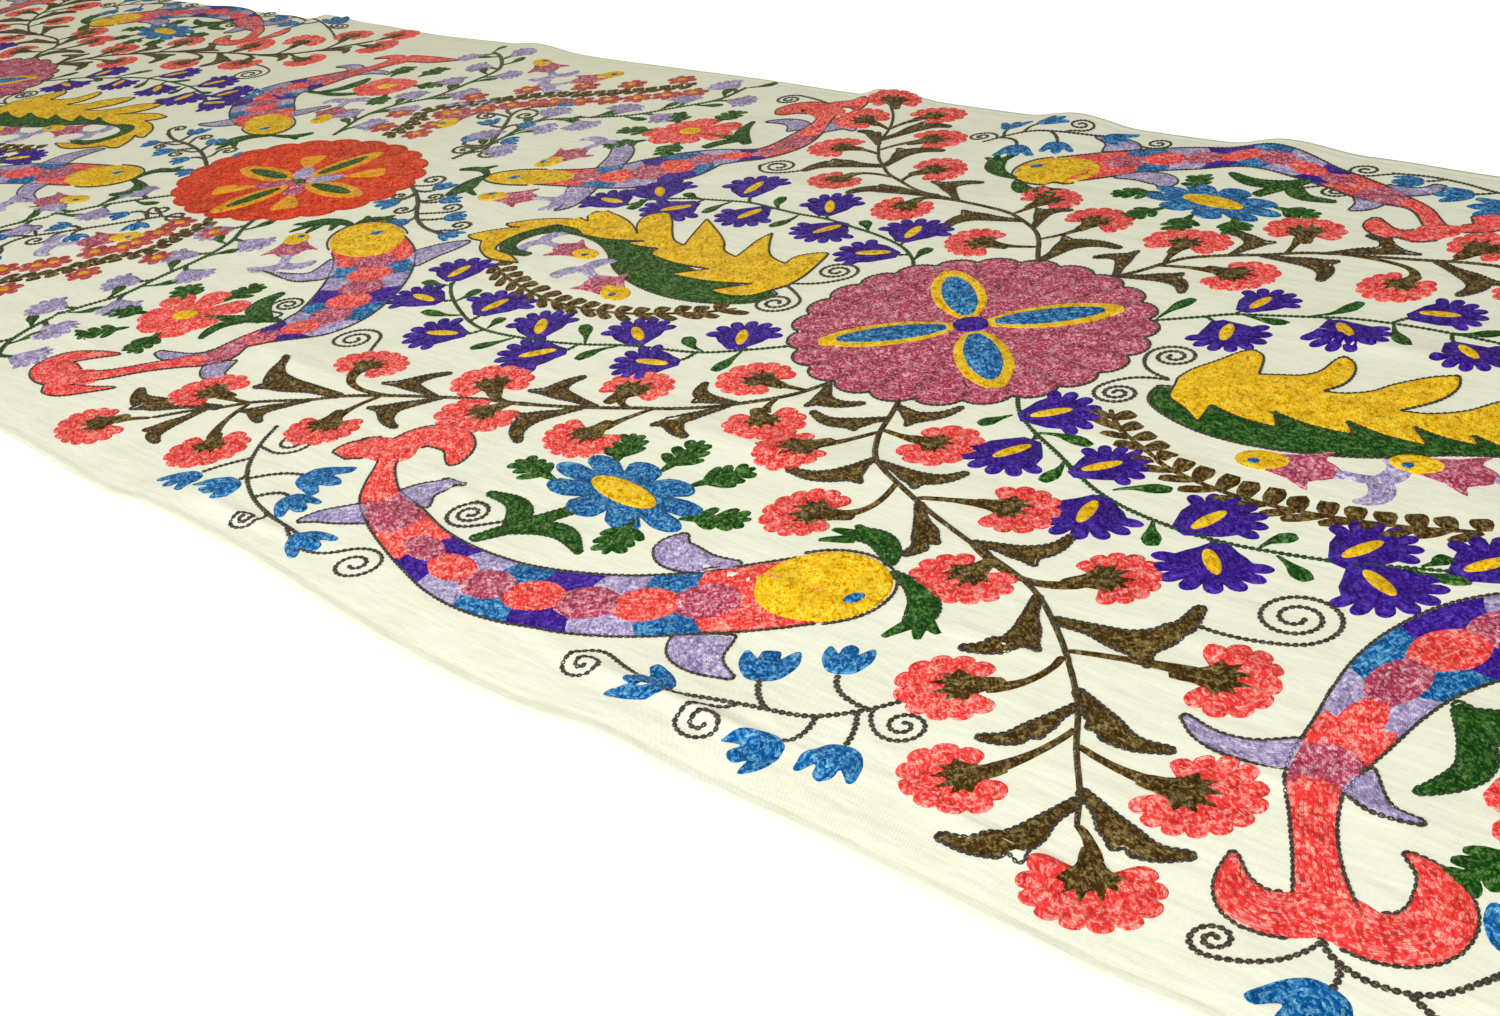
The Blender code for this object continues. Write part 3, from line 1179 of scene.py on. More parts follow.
@dataclass(frozen=True)
class Vine(Motif):
    """A stem with blooms and leaves, set one by one.

    Each bloom is u, v, the way it faces, and where its stalk leaves the stem, or None for the
    nearest place on it. Each horn leaf is its root, horn and barb; each club leaf its root and tip.
    """

    stem: tuple
    blooms: tuple = ()
    horns: tuple = ()
    clubs: tuple = ()
    bloom: Motif = Carnation()
    stalk_thread: Thread = Thread.CHARCOAL
    wedge: Thread | None = Thread.OLIVE
    size: float = 1.0
    stalk_reach: float = 0.12
    girth: float = 1.7

    def work(self, needle: Needlework, spot: Spot) -> None:
        """Work the stem, then what it carries.

        Args:
            needle: Where the stitches are laid.
            spot: Where the vine is.
        """
        path = smooth_path(self.stem, 8)
        if self.wedge is not None:
            girth = np.linspace(0.018, 0.012, len(path))[:, None]
            needle.strip(spot, np.hstack([path, girth]), self.wedge, layer=0.2, per_span=1, step=0.008)
        bare = self.wedge is None
        width = STITCH_WIDTH * (self.girth if bare else 1.0)
        needle.chain(spot, path, self.stalk_thread, 0.0 if bare else 1.4, width)
        for u, v, facing, *rest in self.blooms:
            middle = np.array([u, v])
            foot = middle - heading(facing) * self.stalk_reach * self.size
            if rest:
                root = path[nearest(path, np.array(rest))]
            else:
                root = path[max(0, nearest(path, foot) - 2)]
            gap = np.linalg.norm(root - foot)
            stalk = bend(root, foot - heading(facing) * 0.5 * gap, foot, 10)
            if bare:
                needle.chain(spot, stalk, self.stalk_thread, 0.0, width)
            else:
                share = np.linspace(0, 1, len(stalk))
                swell = np.interp(share, [0, 0.5, 1], [0.017, 0.022, 0.04])[:, None]
                needle.strip(spot, np.hstack([stalk, swell]), self.wedge, per_span=1)
            turn = facing + needle.random.uniform(-6, 6)
            scale = self.size * needle.random.uniform(0.95, 1.06)
            self.bloom.work(needle, spot.at(u, v, turn, scale))
        for root, horn, barb in self.horns:
            HornLeaf(tuple(path[nearest(path, np.array(root))]), horn, barb).work(needle, spot)
        for root, tip in self.clubs:
            ClubLeaf(root, tip).work(needle, spot)


@dataclass(frozen=True)
class IrisVine(Vine):
    """A vine of purple blooms on a bare green stem."""

    bloom: Motif = IrisBloom()
    stalk_thread: Thread = Thread.GREEN
    wedge: Thread | None = None


@dataclass(frozen=True)
class Feather(Motif):
    """A garland of small leaves that point back along its stem, with or without little blooms."""

    stem: tuple
    thread: Thread = Thread.OLIVE
    gap: float = 0.125
    leaf: float = 0.176
    girth: float = 0.040
    hand: int = 1
    blooms: bool = False

    def work(self, needle: Needlework, spot: Spot) -> None:
        """Work the stem and the leaves.

        Args:
            needle: Where the stitches are laid.
            spot: Where the garland is.
        """
        path = evenly(smooth_path(self.stem, 8), self.gap)
        stalk = np.hstack([path, np.full((len(path), 1), 0.016)])
        needle.strip(spot, stalk, self.thread, per_span=1, step=0.012)
        along = np.gradient(path, axis=0)
        along /= np.linalg.norm(along, axis=1, keepdims=True)
        for number, (point, way) in enumerate(zip(path[1:], along[1:])):
            turn = math.degrees(math.atan2(way[1], way[0]))
            for side, lean, size, bulk in ((1, 104, 0.72, 1.3), (-1, 150, 1.05, 0.9)):
                angle = turn + side * self.hand * (lean + needle.random.uniform(-8, 8))
                tip = point + heading(angle) * self.leaf * size * needle.random.uniform(0.88, 1.1)
                girth = self.girth * bulk
                middle = point * 0.4 + tip * 0.6
                spine = [(*point, 0.5 * girth), (*middle, girth), (*tip, 0.65 * girth)]
                needle.strip(spot, spine, self.thread, layer=0.2, per_span=3, step=0.006)
            if self.blooms and number % 4 != 3:
                side = 1 if number % 2 == 1 else -1
                middle = point + heading(turn + side * 85) * 0.215
                rim = scallops(0.078, 0.054, 6, sharp=0.7, steps=5, turn=needle.random.uniform(0, 60))
                place = spot.at(*middle)
                needle.patch(place, rim, Thread.ROSE, layer=0.4)
                needle.patch(place, oval(0.050, 0.040, steps=12), Thread.AMBER, layer=1.4)


@dataclass(frozen=True)
class SmallFish(Motif):
    """A little fish that faces +v: gold head, blue eye, a body with two spikes, a forked tail."""

    body: Thread = Thread.MAUVE
    tail: Thread = Thread.LILAC

    def work(self, needle: Needlework, spot: Spot) -> None:
        """Work tail, body, head and eye.

        Args:
            needle: Where the stitches are laid.
            spot: The middle of its head.
        """
        stem = [(0.0, -0.24, 0.055), (0.0, -0.36, 0.036), (0.0, -0.50, 0.050)]
        needle.strip(spot, stem, self.tail, per_span=4)
        for side in (-1, 1):
            fork = [(0.0, -0.49, 0.055), (side * 0.08, -0.53, 0.060), (side * 0.165, -0.52, 0.052),
                    (side * 0.215, -0.44, 0.018)]
            needle.strip(spot, fork, self.tail, layer=0.1, per_span=4, step=0.005)
        half = [(0.05, 0.04), (0.085, -0.03), (0.120, -0.13), (0.195, -0.245), (0.115, -0.225),
                (0.048, -0.31)]
        rim = smooth_path(half + [(-u, v) for u, v in reversed(half)], 3, closed=True)
        needle.patch(spot, rim, self.body, layer=0.5, centre=(0.0, -0.12))
        needle.patch(spot.at(0.0, 0.02), oval(0.088, 0.125, steps=20), Thread.GOLD, layer=1.4)
        needle.patch(spot.at(0.03, 0.05), oval(0.030, 0.032, steps=10), Thread.BLUE, layer=2.4)


@dataclass(frozen=True)
class Fish(Motif):
    """A large fish with banded tail, scale tiles, gill tiles and a gold head.

    The spine runs from the root of the tail to the head: u, v, half width. Horns, the fluke's
    lobes, and fins are such spines too.
    """

    spine: tuple
    horns: tuple
    fins: tuple
    head: tuple
    head_turn: float
    head_size: tuple
    eye: tuple
    bands: tuple = ((0.15, Thread.CORAL), (0.25, Thread.MAUVE), (0.355, Thread.CORAL))
    tiles_to: float = 0.84
    tiles: int = 6
    sides: tuple = (Thread.BLUE, Thread.LILAC, Thread.PURPLE)
    middles: tuple = (Thread.MAUVE, Thread.CORAL)

    def tile(self, needle: Needlework, spot: Spot, path: np.ndarray, reach: tuple, rows: tuple,
             bulge: float, thread: Thread) -> None:
        """Fill a piece of the body between two places along it and two across it.

        Args:
            needle: Where the stitches are laid.
            spot: Where the fish is.
            path: The body's spine with its half widths.
            reach: Shares along the spine where it starts and ends.
            rows: Shares across, -1 to 1, where it starts and ends.
            bulge: How far its ends bow towards the tail, as a share of the spine.
            thread: The thread.
        """
        size = spot.scale
        along = arc_lengths(path)
        length = along[-1]
        steps = max(4, int((reach[1] - reach[0]) * length * size / 0.006))
        share = np.concatenate([[0, 0.06], np.linspace(0.14, 0.86, steps), [0.94, 1.0]])
        cross = np.array([0, 0.07, 0.16, 0.38, 0.62, 0.84, 0.93, 1.0])
        bow = np.sin(math.pi * cross) * bulge
        start, end = (reach[0] - bow)[None, :], (reach[1] - bow)[None, :]
        s = start * (1 - share[:, None]) + end * share[:, None]
        columns = np.hstack([path, side_normals(path)])
        values = np.stack([np.interp(s, along / length, column) for column in columns.T], axis=-1)
        t = rows[0] + (rows[1] - rows[0]) * cross
        place = values[..., :2] + values[..., 3:5] * (values[..., 2] * t[None, :])[..., None]
        flat = spot.lay(place.reshape(-1, 2)).reshape(place.shape)
        low, mid, high = needle.RIM_LEVELS
        ends = np.interp(share, [0, 0.06, 0.14, 0.86, 0.94, 1], [0.45, 0.75, high, high, 0.75, 0.45])
        seam = high if rows[0] * rows[1] < 0 else 0.5
        flank_levels = [seam, 0.5 * (seam + high), high, high, mid, low]
        flanks = np.interp(np.abs(t), [0, 0.1, 0.2, 0.86, 0.95, 1], flank_levels)
        level = np.minimum(ends[:, None], flanks[None, :])
        coords = np.stack([s * length * size, t[None, :] * values[..., 2] * size], axis=-1)
        needle.grid(flat, level, coords, thread, 0.0)

    def work(self, needle: Needlework, spot: Spot) -> None:
        """Work the fish from its tail to its head, then the chain round it.

        Args:
            needle: Where the stitches are laid.
            spot: Where the fish is.
        """
        path = evenly(smooth_path(self.spine, 8), 0.03)
        for fin in self.fins:
            rim = needle.strip(spot, fin, Thread.LILAC, layer=-0.4)
            needle.chain(spot, rim, closed=True)
        for horn in self.horns:
            rim = needle.strip(spot, horn, Thread.CORAL)
            needle.chain(spot, rim[3:-3])
        needle.patch(spot.at(*self.spine[0][:2]), oval(0.13, 0.11, steps=16), Thread.CORAL, layer=0.2)
        start = 0.0
        for end, thread in self.bands:
            self.tile(needle, spot, path, (start, end + 0.02), (-1.0, 1.0), -0.02, thread)
            start = end
        pitch = (self.tiles_to - start) / self.tiles
        for rows in ((-1.0, 0.0), (0.0, 1.0)):
            for number in range(self.tiles):
                at = start + pitch * number
                thread = self.sides[(self.tiles - 1 - number) % len(self.sides)]
                self.tile(needle, spot, path, (at, at + pitch), rows, 0.12 * pitch, thread)
            self.tile(needle, spot, path, (self.tiles_to, 1.0), rows, 0.3 * pitch, Thread.CORAL)
        for number in range(self.tiles + 1):
            at = start + pitch * number
            drop = between(path, at - 0.62 * pitch, min(0.99, at + 0.66 * pitch), 9)
            drop[:, 2] *= np.array([0.16, 0.38, 0.50, 0.56, 0.58, 0.55, 0.46, 0.33, 0.14])
            needle.strip(spot, drop, self.middles[(self.tiles - number) % 2], layer=0.7, per_span=2)
        rx, ry = self.head_size
        place = spot.at(*self.head)
        needle.patch(place, oval(rx, ry, self.head_turn, steps=44), Thread.GOLD, layer=1.4)
        needle.patch(spot.at(*self.eye), oval(0.056, 0.038, turn=70, steps=14), Thread.BLUE, layer=2.6)
        arc = oval(rx + 0.015, ry + 0.015, self.head_turn, steps=44)
        needle.chain(place, np.vstack([arc[-12:], arc[:13]]), layer=0.8)
        flank = side_normals(path) * path[:, 2:3]
        for edge in (path[:, :2] + flank, path[:, :2] - flank):
            needle.chain(spot, edge[:-3], layer=0.3)


@dataclass(frozen=True)
class Paisley(Motif):
    """A gold paisley with flames along its back and teeth on its green belly, which curls at its end.

    The back and the curl are curves from corner to corner. Each tooth is its tip, and the notch
    before it.
    """

    belly: tuple = (
        (1.30, -0.14, 0.06), (1.38, -0.27, 0.11), (1.68, -0.33, 0.17), (2.00, -0.30, 0.19),
        (2.34, -0.20, 0.17), (2.64, -0.05, 0.12), (2.90, 0.02, 0.075), (3.18, 0.02, 0.045),
        (3.38, -0.06, 0.05), (3.44, -0.22, 0.05), (3.40, -0.37, 0.05), (3.28, -0.44, 0.045),
        (3.13, -0.42, 0.025),
    )
    back: tuple = (
        ((1.28, -0.04), (1.29, 0.08), (1.34, 0.22), (1.38, 0.36), (1.42, 0.43)),
        ((1.42, 0.43), (1.50, 0.39), (1.55, 0.29), (1.59, 0.18)),
        ((1.59, 0.18), (1.67, 0.22), (1.77, 0.27), (1.82, 0.36), (1.82, 0.49), (1.84, 0.56)),
        ((1.84, 0.56), (1.92, 0.51), (1.97, 0.40), (1.98, 0.27), (1.93, 0.16)),
        ((1.93, 0.16), (2.02, 0.18), (2.12, 0.26), (2.18, 0.39), (2.28, 0.52), (2.40, 0.60)),
        ((2.40, 0.60), (2.44, 0.48), (2.42, 0.32), (2.32, 0.14)),
        ((2.32, 0.14), (2.44, 0.17), (2.57, 0.28), (2.66, 0.45), (2.78, 0.54), (2.90, 0.58)),
        ((2.90, 0.58), (2.93, 0.45), (2.88, 0.30), (2.76, 0.17)),
    )
    curl: tuple = (
        ((2.76, 0.175), (2.89, 0.265), (3.03, 0.335), (3.19, 0.375), (3.35, 0.355)),
        ((3.35, 0.355), (3.32, 0.27), (3.25, 0.19)),
        ((3.25, 0.19), (3.42, 0.16), (3.60, 0.06), (3.74, -0.10)),
        ((3.74, -0.10), (3.68, -0.12), (3.59, -0.10)),
        ((3.59, -0.10), (3.66, -0.16), (3.74, -0.26), (3.80, -0.38)),
        ((3.80, -0.38), (3.72, -0.41), (3.63, -0.40)),
        ((3.63, -0.40), (3.50, -0.52), (3.30, -0.60), (3.08, -0.56)),
        ((3.08, -0.56), (3.16, -0.52), (3.24, -0.49)),
        ((3.24, -0.49), (3.42, -0.46), (3.49, -0.28), (3.46, -0.08), (3.34, 0.04), (3.20, 0.05),
         (3.08, -0.01)),
    )
    teeth: tuple = (
        (2.76, -0.02, 2.69, 0.07), (2.58, -0.13, 2.44, 0.02), (2.26, -0.19, 2.17, -0.07),
        (1.94, -0.29, 1.85, -0.15), (1.61, -0.42, 1.57, -0.23),
    )

    def gold(self) -> np.ndarray:
        """Draw the gold part: its back, its curl and its row of teeth.

        Returns:
            Its outline.
        """
        parts = [*self.back, *self.curl]
        for u, v, notch_u, notch_v in self.teeth:
            start = np.array(parts[-1][-1])
            chord = np.array([notch_u, notch_v]) - start
            sag = np.array([chord[1], -chord[0]]) * -0.06
            parts.append([tuple(start), tuple(start + 0.5 * chord + sag), (notch_u, notch_v)])
            parts.append([(notch_u, notch_v), (u, v)])
        parts.append([parts[-1][-1], (1.48, -0.32), (1.36, -0.25), (1.31, -0.12), (1.28, -0.04)])
        return cornered(parts)

    def work(self, needle: Needlework, spot: Spot) -> None:
        """Work the belly, the gold back over it and the chain round both.

        Args:
            needle: Where the stitches are laid.
            spot: Where the paisley is.
        """
        rim = needle.strip(spot, self.belly, Thread.GREEN)
        needle.chain(spot, rim, closed=True)
        back = self.gold()
        needle.fill(spot, back, Thread.GOLD, 90.0 * np.sign(spot.matrix[0, 0]) + 20.0, 0.8)
        needle.chain(spot, back, layer=0.8, closed=True)


LEFT_PAISLEY = Paisley(back=(
    ((1.28, -0.04), (1.29, 0.10), (1.32, 0.22), (1.37, 0.38), (1.41, 0.48)),
    ((1.41, 0.48), (1.50, 0.42), (1.55, 0.32), (1.53, 0.22)),
    ((1.53, 0.22), (1.64, 0.25), (1.74, 0.31), (1.85, 0.43), (1.97, 0.59)),
    ((1.97, 0.59), (1.96, 0.44), (1.92, 0.30), (1.885, 0.165)),
    ((1.885, 0.165), (2.03, 0.215), (2.13, 0.32), (2.28, 0.43), (2.54, 0.59)),
    ((2.54, 0.59), (2.46, 0.42), (2.38, 0.26), (2.33, 0.165)),
    ((2.33, 0.165), (2.45, 0.20), (2.58, 0.31), (2.73, 0.46), (2.87, 0.57)),
    ((2.87, 0.57), (2.96, 0.46), (2.90, 0.31), (2.76, 0.175)),
), teeth=(
    (2.70, 0.02, 2.62, 0.10), (2.42, -0.05, 2.44, 0.05), (2.05, -0.24, 1.89, -0.06),
    (1.65, -0.32, 1.48, -0.12),
))


@dataclass(frozen=True)
class PinkMedallion(Motif):
    """The scalloped mauve disc with four gold-edged blue petals and a purple centre."""

    radius: float = 0.920
    scallop: float = 0.062
    count: int = 24
    petal_reach: tuple = (0.06, 0.85)
    petal_half_width: float = 0.155
    core_reach: tuple = (0.10, 0.75)
    core_half_width: float = 0.100
    chain_outside: float = 1.006

    def petal(self, needle: Needlework, spot: Spot, angle: float, reach: tuple, half: float,
              thread: Thread, layer: float) -> None:
        """Work one leaf shape that points out from the centre.

        Args:
            needle: Where the stitches are laid.
            spot: The medallion's centre.
            angle: Where it points, in degrees.
            reach: How far out it starts and ends.
            half: Half its width.
            thread: The thread.
            layer: How many layers it is worked over.
        """
        start, end = reach
        shares = ((0.0, 0.16), (0.1, 0.5), (0.28, 0.88), (0.5, 1.0), (0.7, 0.9), (0.87, 0.58),
                  (0.96, 0.28), (1.0, 0.05))
        spine = [(*heading(angle) * (start + (end - start) * s), half * w) for s, w in shares]
        needle.strip(spot, spine, thread, layer)

    def work(self, needle: Needlework, spot: Spot) -> None:
        """Work the disc, its petals, its centre and the chain round it.

        Args:
            needle: Where the stitches are laid.
            spot: The medallion's centre.
        """
        rim = scallops(self.radius, self.scallop, self.count, turn=4.0)
        needle.patch(spot, rim, Thread.MAUVE, ring=0.01, puckered=0.5)
        needle.chain(spot, rim * self.chain_outside, layer=0.3, closed=True)
        for angle in (45, 135, 225, 315):
            self.petal(needle, spot, angle, self.petal_reach, self.petal_half_width, Thread.GOLD, 1.2)
            self.petal(needle, spot, angle, self.core_reach, self.core_half_width, Thread.BLUE, 2.4)
        needle.patch(spot, oval(0.1, 0.1, steps=20), Thread.PURPLE, layer=3.4)


@dataclass(frozen=True)
class OrangeMedallion(PinkMedallion):
    """The red-orange disc with green slits, amber wedges and a small mauve heart."""

    radius: float = 0.92
    scallop: float = 0.06
    count: int = 22
    petal_reach: tuple = (0.08, 0.78)
    petal_half_width: float = 0.130
    core_reach: tuple = (0.14, 0.66)
    core_half_width: float = 0.068
    middle: tuple = (-0.09, 0.06)
    stretch: tuple = (1.08, 0.90)

    def work(self, needle: Needlework, spot: Spot) -> None:
        """Work the disc, slits, wedges, heart and the chain round it.

        Args:
            needle: Where the stitches are laid.
            spot: The medallion's centre.
        """
        disc = scallops(self.radius, self.scallop, self.count, turn=10.0) * np.array(self.stretch)
        rim = disc + np.array(self.middle)
        needle.patch(spot, rim, Thread.RED_ORANGE, ring=0.01, puckered=0.5)
        outer = disc * self.chain_outside + np.array(self.middle)
        needle.chain(spot, outer, Thread.RED_ORANGE, layer=0.3, closed=True)
        for angle in (45, 135, 225, 315):
            shares = ((0.30, 0.02), (0.42, 0.06), (0.53, 0.10), (0.62, 0.10), (0.67, 0.03))
            wedge = [(*heading(angle) * reach, half) for reach, half in shares]
            needle.strip(spot, wedge, Thread.AMBER, layer=1.0)
            arm = Thread.LILAC if angle < 180 else Thread.MAUVE
            self.petal(needle, spot, angle, (0.02, 0.36), 0.085, arm, 2.0)
        for angle in (0, 90, 180, 270):
            self.petal(needle, spot, angle, self.petal_reach, self.petal_half_width, Thread.AMBER, 1.4)
            self.petal(needle, spot, angle, self.core_reach, self.core_half_width, Thread.GREEN, 2.4)
        needle.patch(spot, oval(0.07, 0.045, steps=16), Thread.GREEN, layer=3.2)


@dataclass(frozen=True)
class BlueFlower(Motif):
    """The wide blue flower with round petals, a gold oval heart and green sprigs round it."""

    petals: int = 9
    half_length: float = 0.5
    half_width: float = 0.27
    turn: float = -8.0
    sprigs: tuple = (
        (-0.34, 0.33, 118.0), (-0.02, 0.42, 96.0), (0.30, 0.36, 62.0), (0.55, 0.05, 30.0),
        (0.29, -0.30, 290.0), (-0.56, -0.06, 172.0),
    )

    def work(self, needle: Needlework, spot: Spot) -> None:
        """Work the petals, the heart and the sprigs.

        Args:
            needle: Where the stitches are laid.
            spot: The flower's middle.
        """
        rim = scallops(0.60, 0.42, self.petals, sharp=0.5, steps=9, turn=6.0)
        stretch = np.array([self.half_length, self.half_width])
        flower = spot.at(0.0, 0.0, 90 + self.turn)
        needle.patch(flower, rim * stretch, Thread.BLUE)
        for petal in range(self.petals):
            tip = heading(6 + 360 * (petal + 0.5) / self.petals) * stretch
            blade = [(*tip * 0.45, 0.03), (*tip * 0.75, 0.066), (*tip * 0.96, 0.035)]
            needle.strip(flower, blade, Thread.BLUE, layer=0.5, per_span=4)
        needle.patch(flower, oval(0.24, 0.085, steps=26), Thread.GOLD, layer=1.6)
        for u, v, facing in self.sprigs:
            Sprig().work(needle, spot.at(u, v, facing))


@dataclass(frozen=True)
class Daisy(Motif):
    """The red flower with seven or eight blunt petals, a gold heart and green sprigs round it."""

    petals: int = 7
    radius: float = 0.38
    sprigs: tuple = ((0.0, 0.42, 95.0), (-0.36, 0.22, 140.0), (-0.42, -0.16, 200.0),
                     (-0.26, -0.44, 235.0), (0.17, -0.38, 290.0))

    def work(self, needle: Needlework, spot: Spot) -> None:
        """Work the petals, the heart and the sprigs.

        Args:
            needle: Where the stitches are laid.
            spot: The flower's middle.
        """
        for petal in range(self.petals):
            angle = 360 * petal / self.petals + needle.random.uniform(-6, 6)
            reach = self.radius * needle.random.uniform(0.78, 1.08)
            way = heading(angle)
            spine = [(*way * 0.04, 0.03), (*way * reach * 0.45, 0.085), (*way * reach * 0.80, 0.118),
                     (*way * reach, 0.050)]
            needle.strip(spot, spine, Thread.CORAL, layer=0.3 * (petal % 2), per_span=5)
        needle.patch(spot, oval(0.09, 0.075, turn=20, steps=18), Thread.GOLD, layer=1.6)
        for u, v, facing in self.sprigs:
            Sprig().work(needle, spot.at(u, v, facing))


SMALL_DAISY = Daisy(
    radius=0.33,
    sprigs=((-0.31, 0.40, 110.0), (0.02, 0.50, 90.0), (0.36, 0.19, 30.0), (0.30, -0.30, 300.0)),
)


@dataclass(frozen=True)
class TulipSpray(Motif):
    """A thin charcoal stem with curls and blue tulips.

    Each tulip is u, v and the way it faces. Each curl is u, v, radius, entry angle and hand.
    """

    stem: tuple
    tulips: tuple
    curls: tuple = ()
    size: float = 0.94
    girth: float = 1.75
    curl_turns: float = 1.8

    def work(self, needle: Needlework, spot: Spot) -> None:
        """Work the stem, the curls and the tulips.

        Args:
            needle: Where the stitches are laid.
            spot: Where the spray is.
        """
        path = smooth_path(self.stem, 8)
        width = self.girth * STITCH_WIDTH
        needle.chain(spot, path, width=width)
        for u, v, facing in self.tulips:
            foot = np.array([u, v]) - heading(facing) * 0.11 * self.size
            root = path[max(0, nearest(path, foot) - 3)]
            gap = np.linalg.norm(root - foot)
            stalk = bend(root, foot - heading(facing) * 0.5 * gap, foot)
            needle.chain(spot, stalk, width=width)
            Tulip().work(needle, spot.at(u, v, facing, self.size * needle.random.uniform(0.9, 1.1)))
        for u, v, radius, entry, hand in self.curls:
            start = np.array([u, v]) + heading(entry) * radius
            root = path[max(0, nearest(path, start) - 2)] - np.array([u, v])
            curl = Spiral(radius, self.curl_turns, entry, hand, tuple(root), girth=0.8 * self.girth)
            curl.work(needle, spot.at(u, v))


@dataclass(frozen=True)
class SmallSpray(TulipSpray):
    """The smaller, thicker spray that stands round an orange medallion."""

    size: float = 0.74
    girth: float = 2.4
    curl_turns: float = 1.4


# The vines of a pink cell, in medallion radii from its centre
CARNATIONS_NEAR_RIGHT = Vine(
    stem=((0.25, -0.92), (0.33, -1.10), (0.42, -1.30), (0.60, -1.52), (0.95, -1.70), (1.40, -1.88),
          (1.80, -2.03), (2.05, -2.22), (2.25, -2.42), (2.42, -2.62), (2.56, -2.84), (2.70, -3.03),
          (2.80, -3.20)),
    blooms=((0.73, -1.22, 5.0, 0.38, -1.22), (1.39, -1.54, 15.0, 0.94, -1.70),
            (2.05, -1.80, 52.0, 1.42, -1.89), (2.78, -2.18, 12.0, 2.17, -2.34),
            (3.03, -2.83, 8.0, 2.54, -2.80), (3.00, -3.42, 300.0, 2.80, -3.18),
            (0.17, -1.64, 238.0, 0.39, -1.24), (0.62, -2.05, 205.0, 0.80, -1.64),
            (1.54, -2.13, 262.0, 1.39, -1.88), (1.97, -2.78, 212.0, 2.20, -2.38),
            (2.31, -3.22, 238.0, 2.48, -2.74)),
    horns=(((0.28, -0.98), (0.57, -0.83), (0.46, -1.13)),
           ((0.34, -1.13), (-0.04, -1.25), (0.27, -1.30)),
           ((0.55, -1.50), (0.29, -1.80), (0.66, -1.72)),
           ((0.58, -1.54), (1.01, -1.38), (0.90, -1.63)),
           ((1.02, -1.75), (1.22, -2.12), (1.28, -1.96)),
           ((1.38, -1.88), (1.72, -1.60), (1.72, -1.89)),
           ((1.88, -2.06), (1.84, -2.55), (2.10, -2.41)),
           ((2.02, -2.18), (2.44, -1.80), (2.48, -2.26)),
           ((2.37, -2.55), (2.84, -2.66), (2.52, -2.71)),
           ((2.42, -2.62), (2.23, -2.98), (2.42, -2.86)),
           ((2.68, -3.03), (3.18, -3.10), (2.95, -3.22)),
           ((2.72, -3.08), (2.45, -3.49), (2.75, -3.44))),
)
CARNATIONS_NEAR_LEFT = Vine(
    stem=((-0.18, -0.92), (-0.26, -1.16), (-0.43, -1.38), (-0.65, -1.59), (-0.90, -1.72),
          (-1.17, -1.85), (-1.41, -1.95), (-1.68, -2.04), (-1.96, -2.18), (-2.14, -2.28),
          (-2.38, -2.42), (-2.50, -2.53), (-2.75, -2.71), (-2.87, -2.86), (-2.99, -2.98),
          (-3.10, -3.14)),
    blooms=((-0.56, -1.10, 182.0, -0.23, -1.06), (-1.03, -1.50, 102.0, -0.87, -1.71),
            (-1.79, -1.85, 140.0, -1.35, -1.94), (-2.58, -2.06, 106.0, -2.11, -2.27),
            (-3.14, -2.77, 182.0, -2.78, -2.71), (-3.32, -3.38, 238.0, -3.10, -3.14),
            (-0.15, -1.48, 312.0, -0.29, -1.22), (-0.84, -2.06, 265.0, -0.75, -1.66),
            (-1.53, -2.17, 262.0, -1.35, -1.93), (-2.13, -2.71, 292.0, -2.14, -2.32),
            (-2.47, -3.19, 318.0, -2.75, -2.75)),
    horns=(((-0.19, -0.96), (0.13, -1.04), (-0.11, -1.21)),
           ((-0.44, -1.38), (-0.75, -1.27), (-0.64, -1.48)),
           ((-0.46, -1.42), (-0.37, -1.80), (-0.62, -1.78)),
           ((-1.06, -1.78), (-1.38, -1.54), (-1.50, -1.82)),
           ((-1.12, -1.82), (-1.08, -2.27), (-1.35, -2.06)),
           ((-1.90, -2.14), (-2.08, -1.89), (-2.28, -2.19)),
           ((-1.86, -2.14), (-1.78, -2.50), (-2.11, -2.42)),
           ((-2.38, -2.42), (-3.08, -2.28), (-2.93, -2.59)),
           ((-2.50, -2.54), (-2.50, -2.85), (-2.72, -2.82)),
           ((-2.87, -2.86), (-3.53, -2.96), (-3.32, -3.13)),
           ((-2.92, -2.92), (-2.78, -3.30), (-2.99, -3.25))),
)
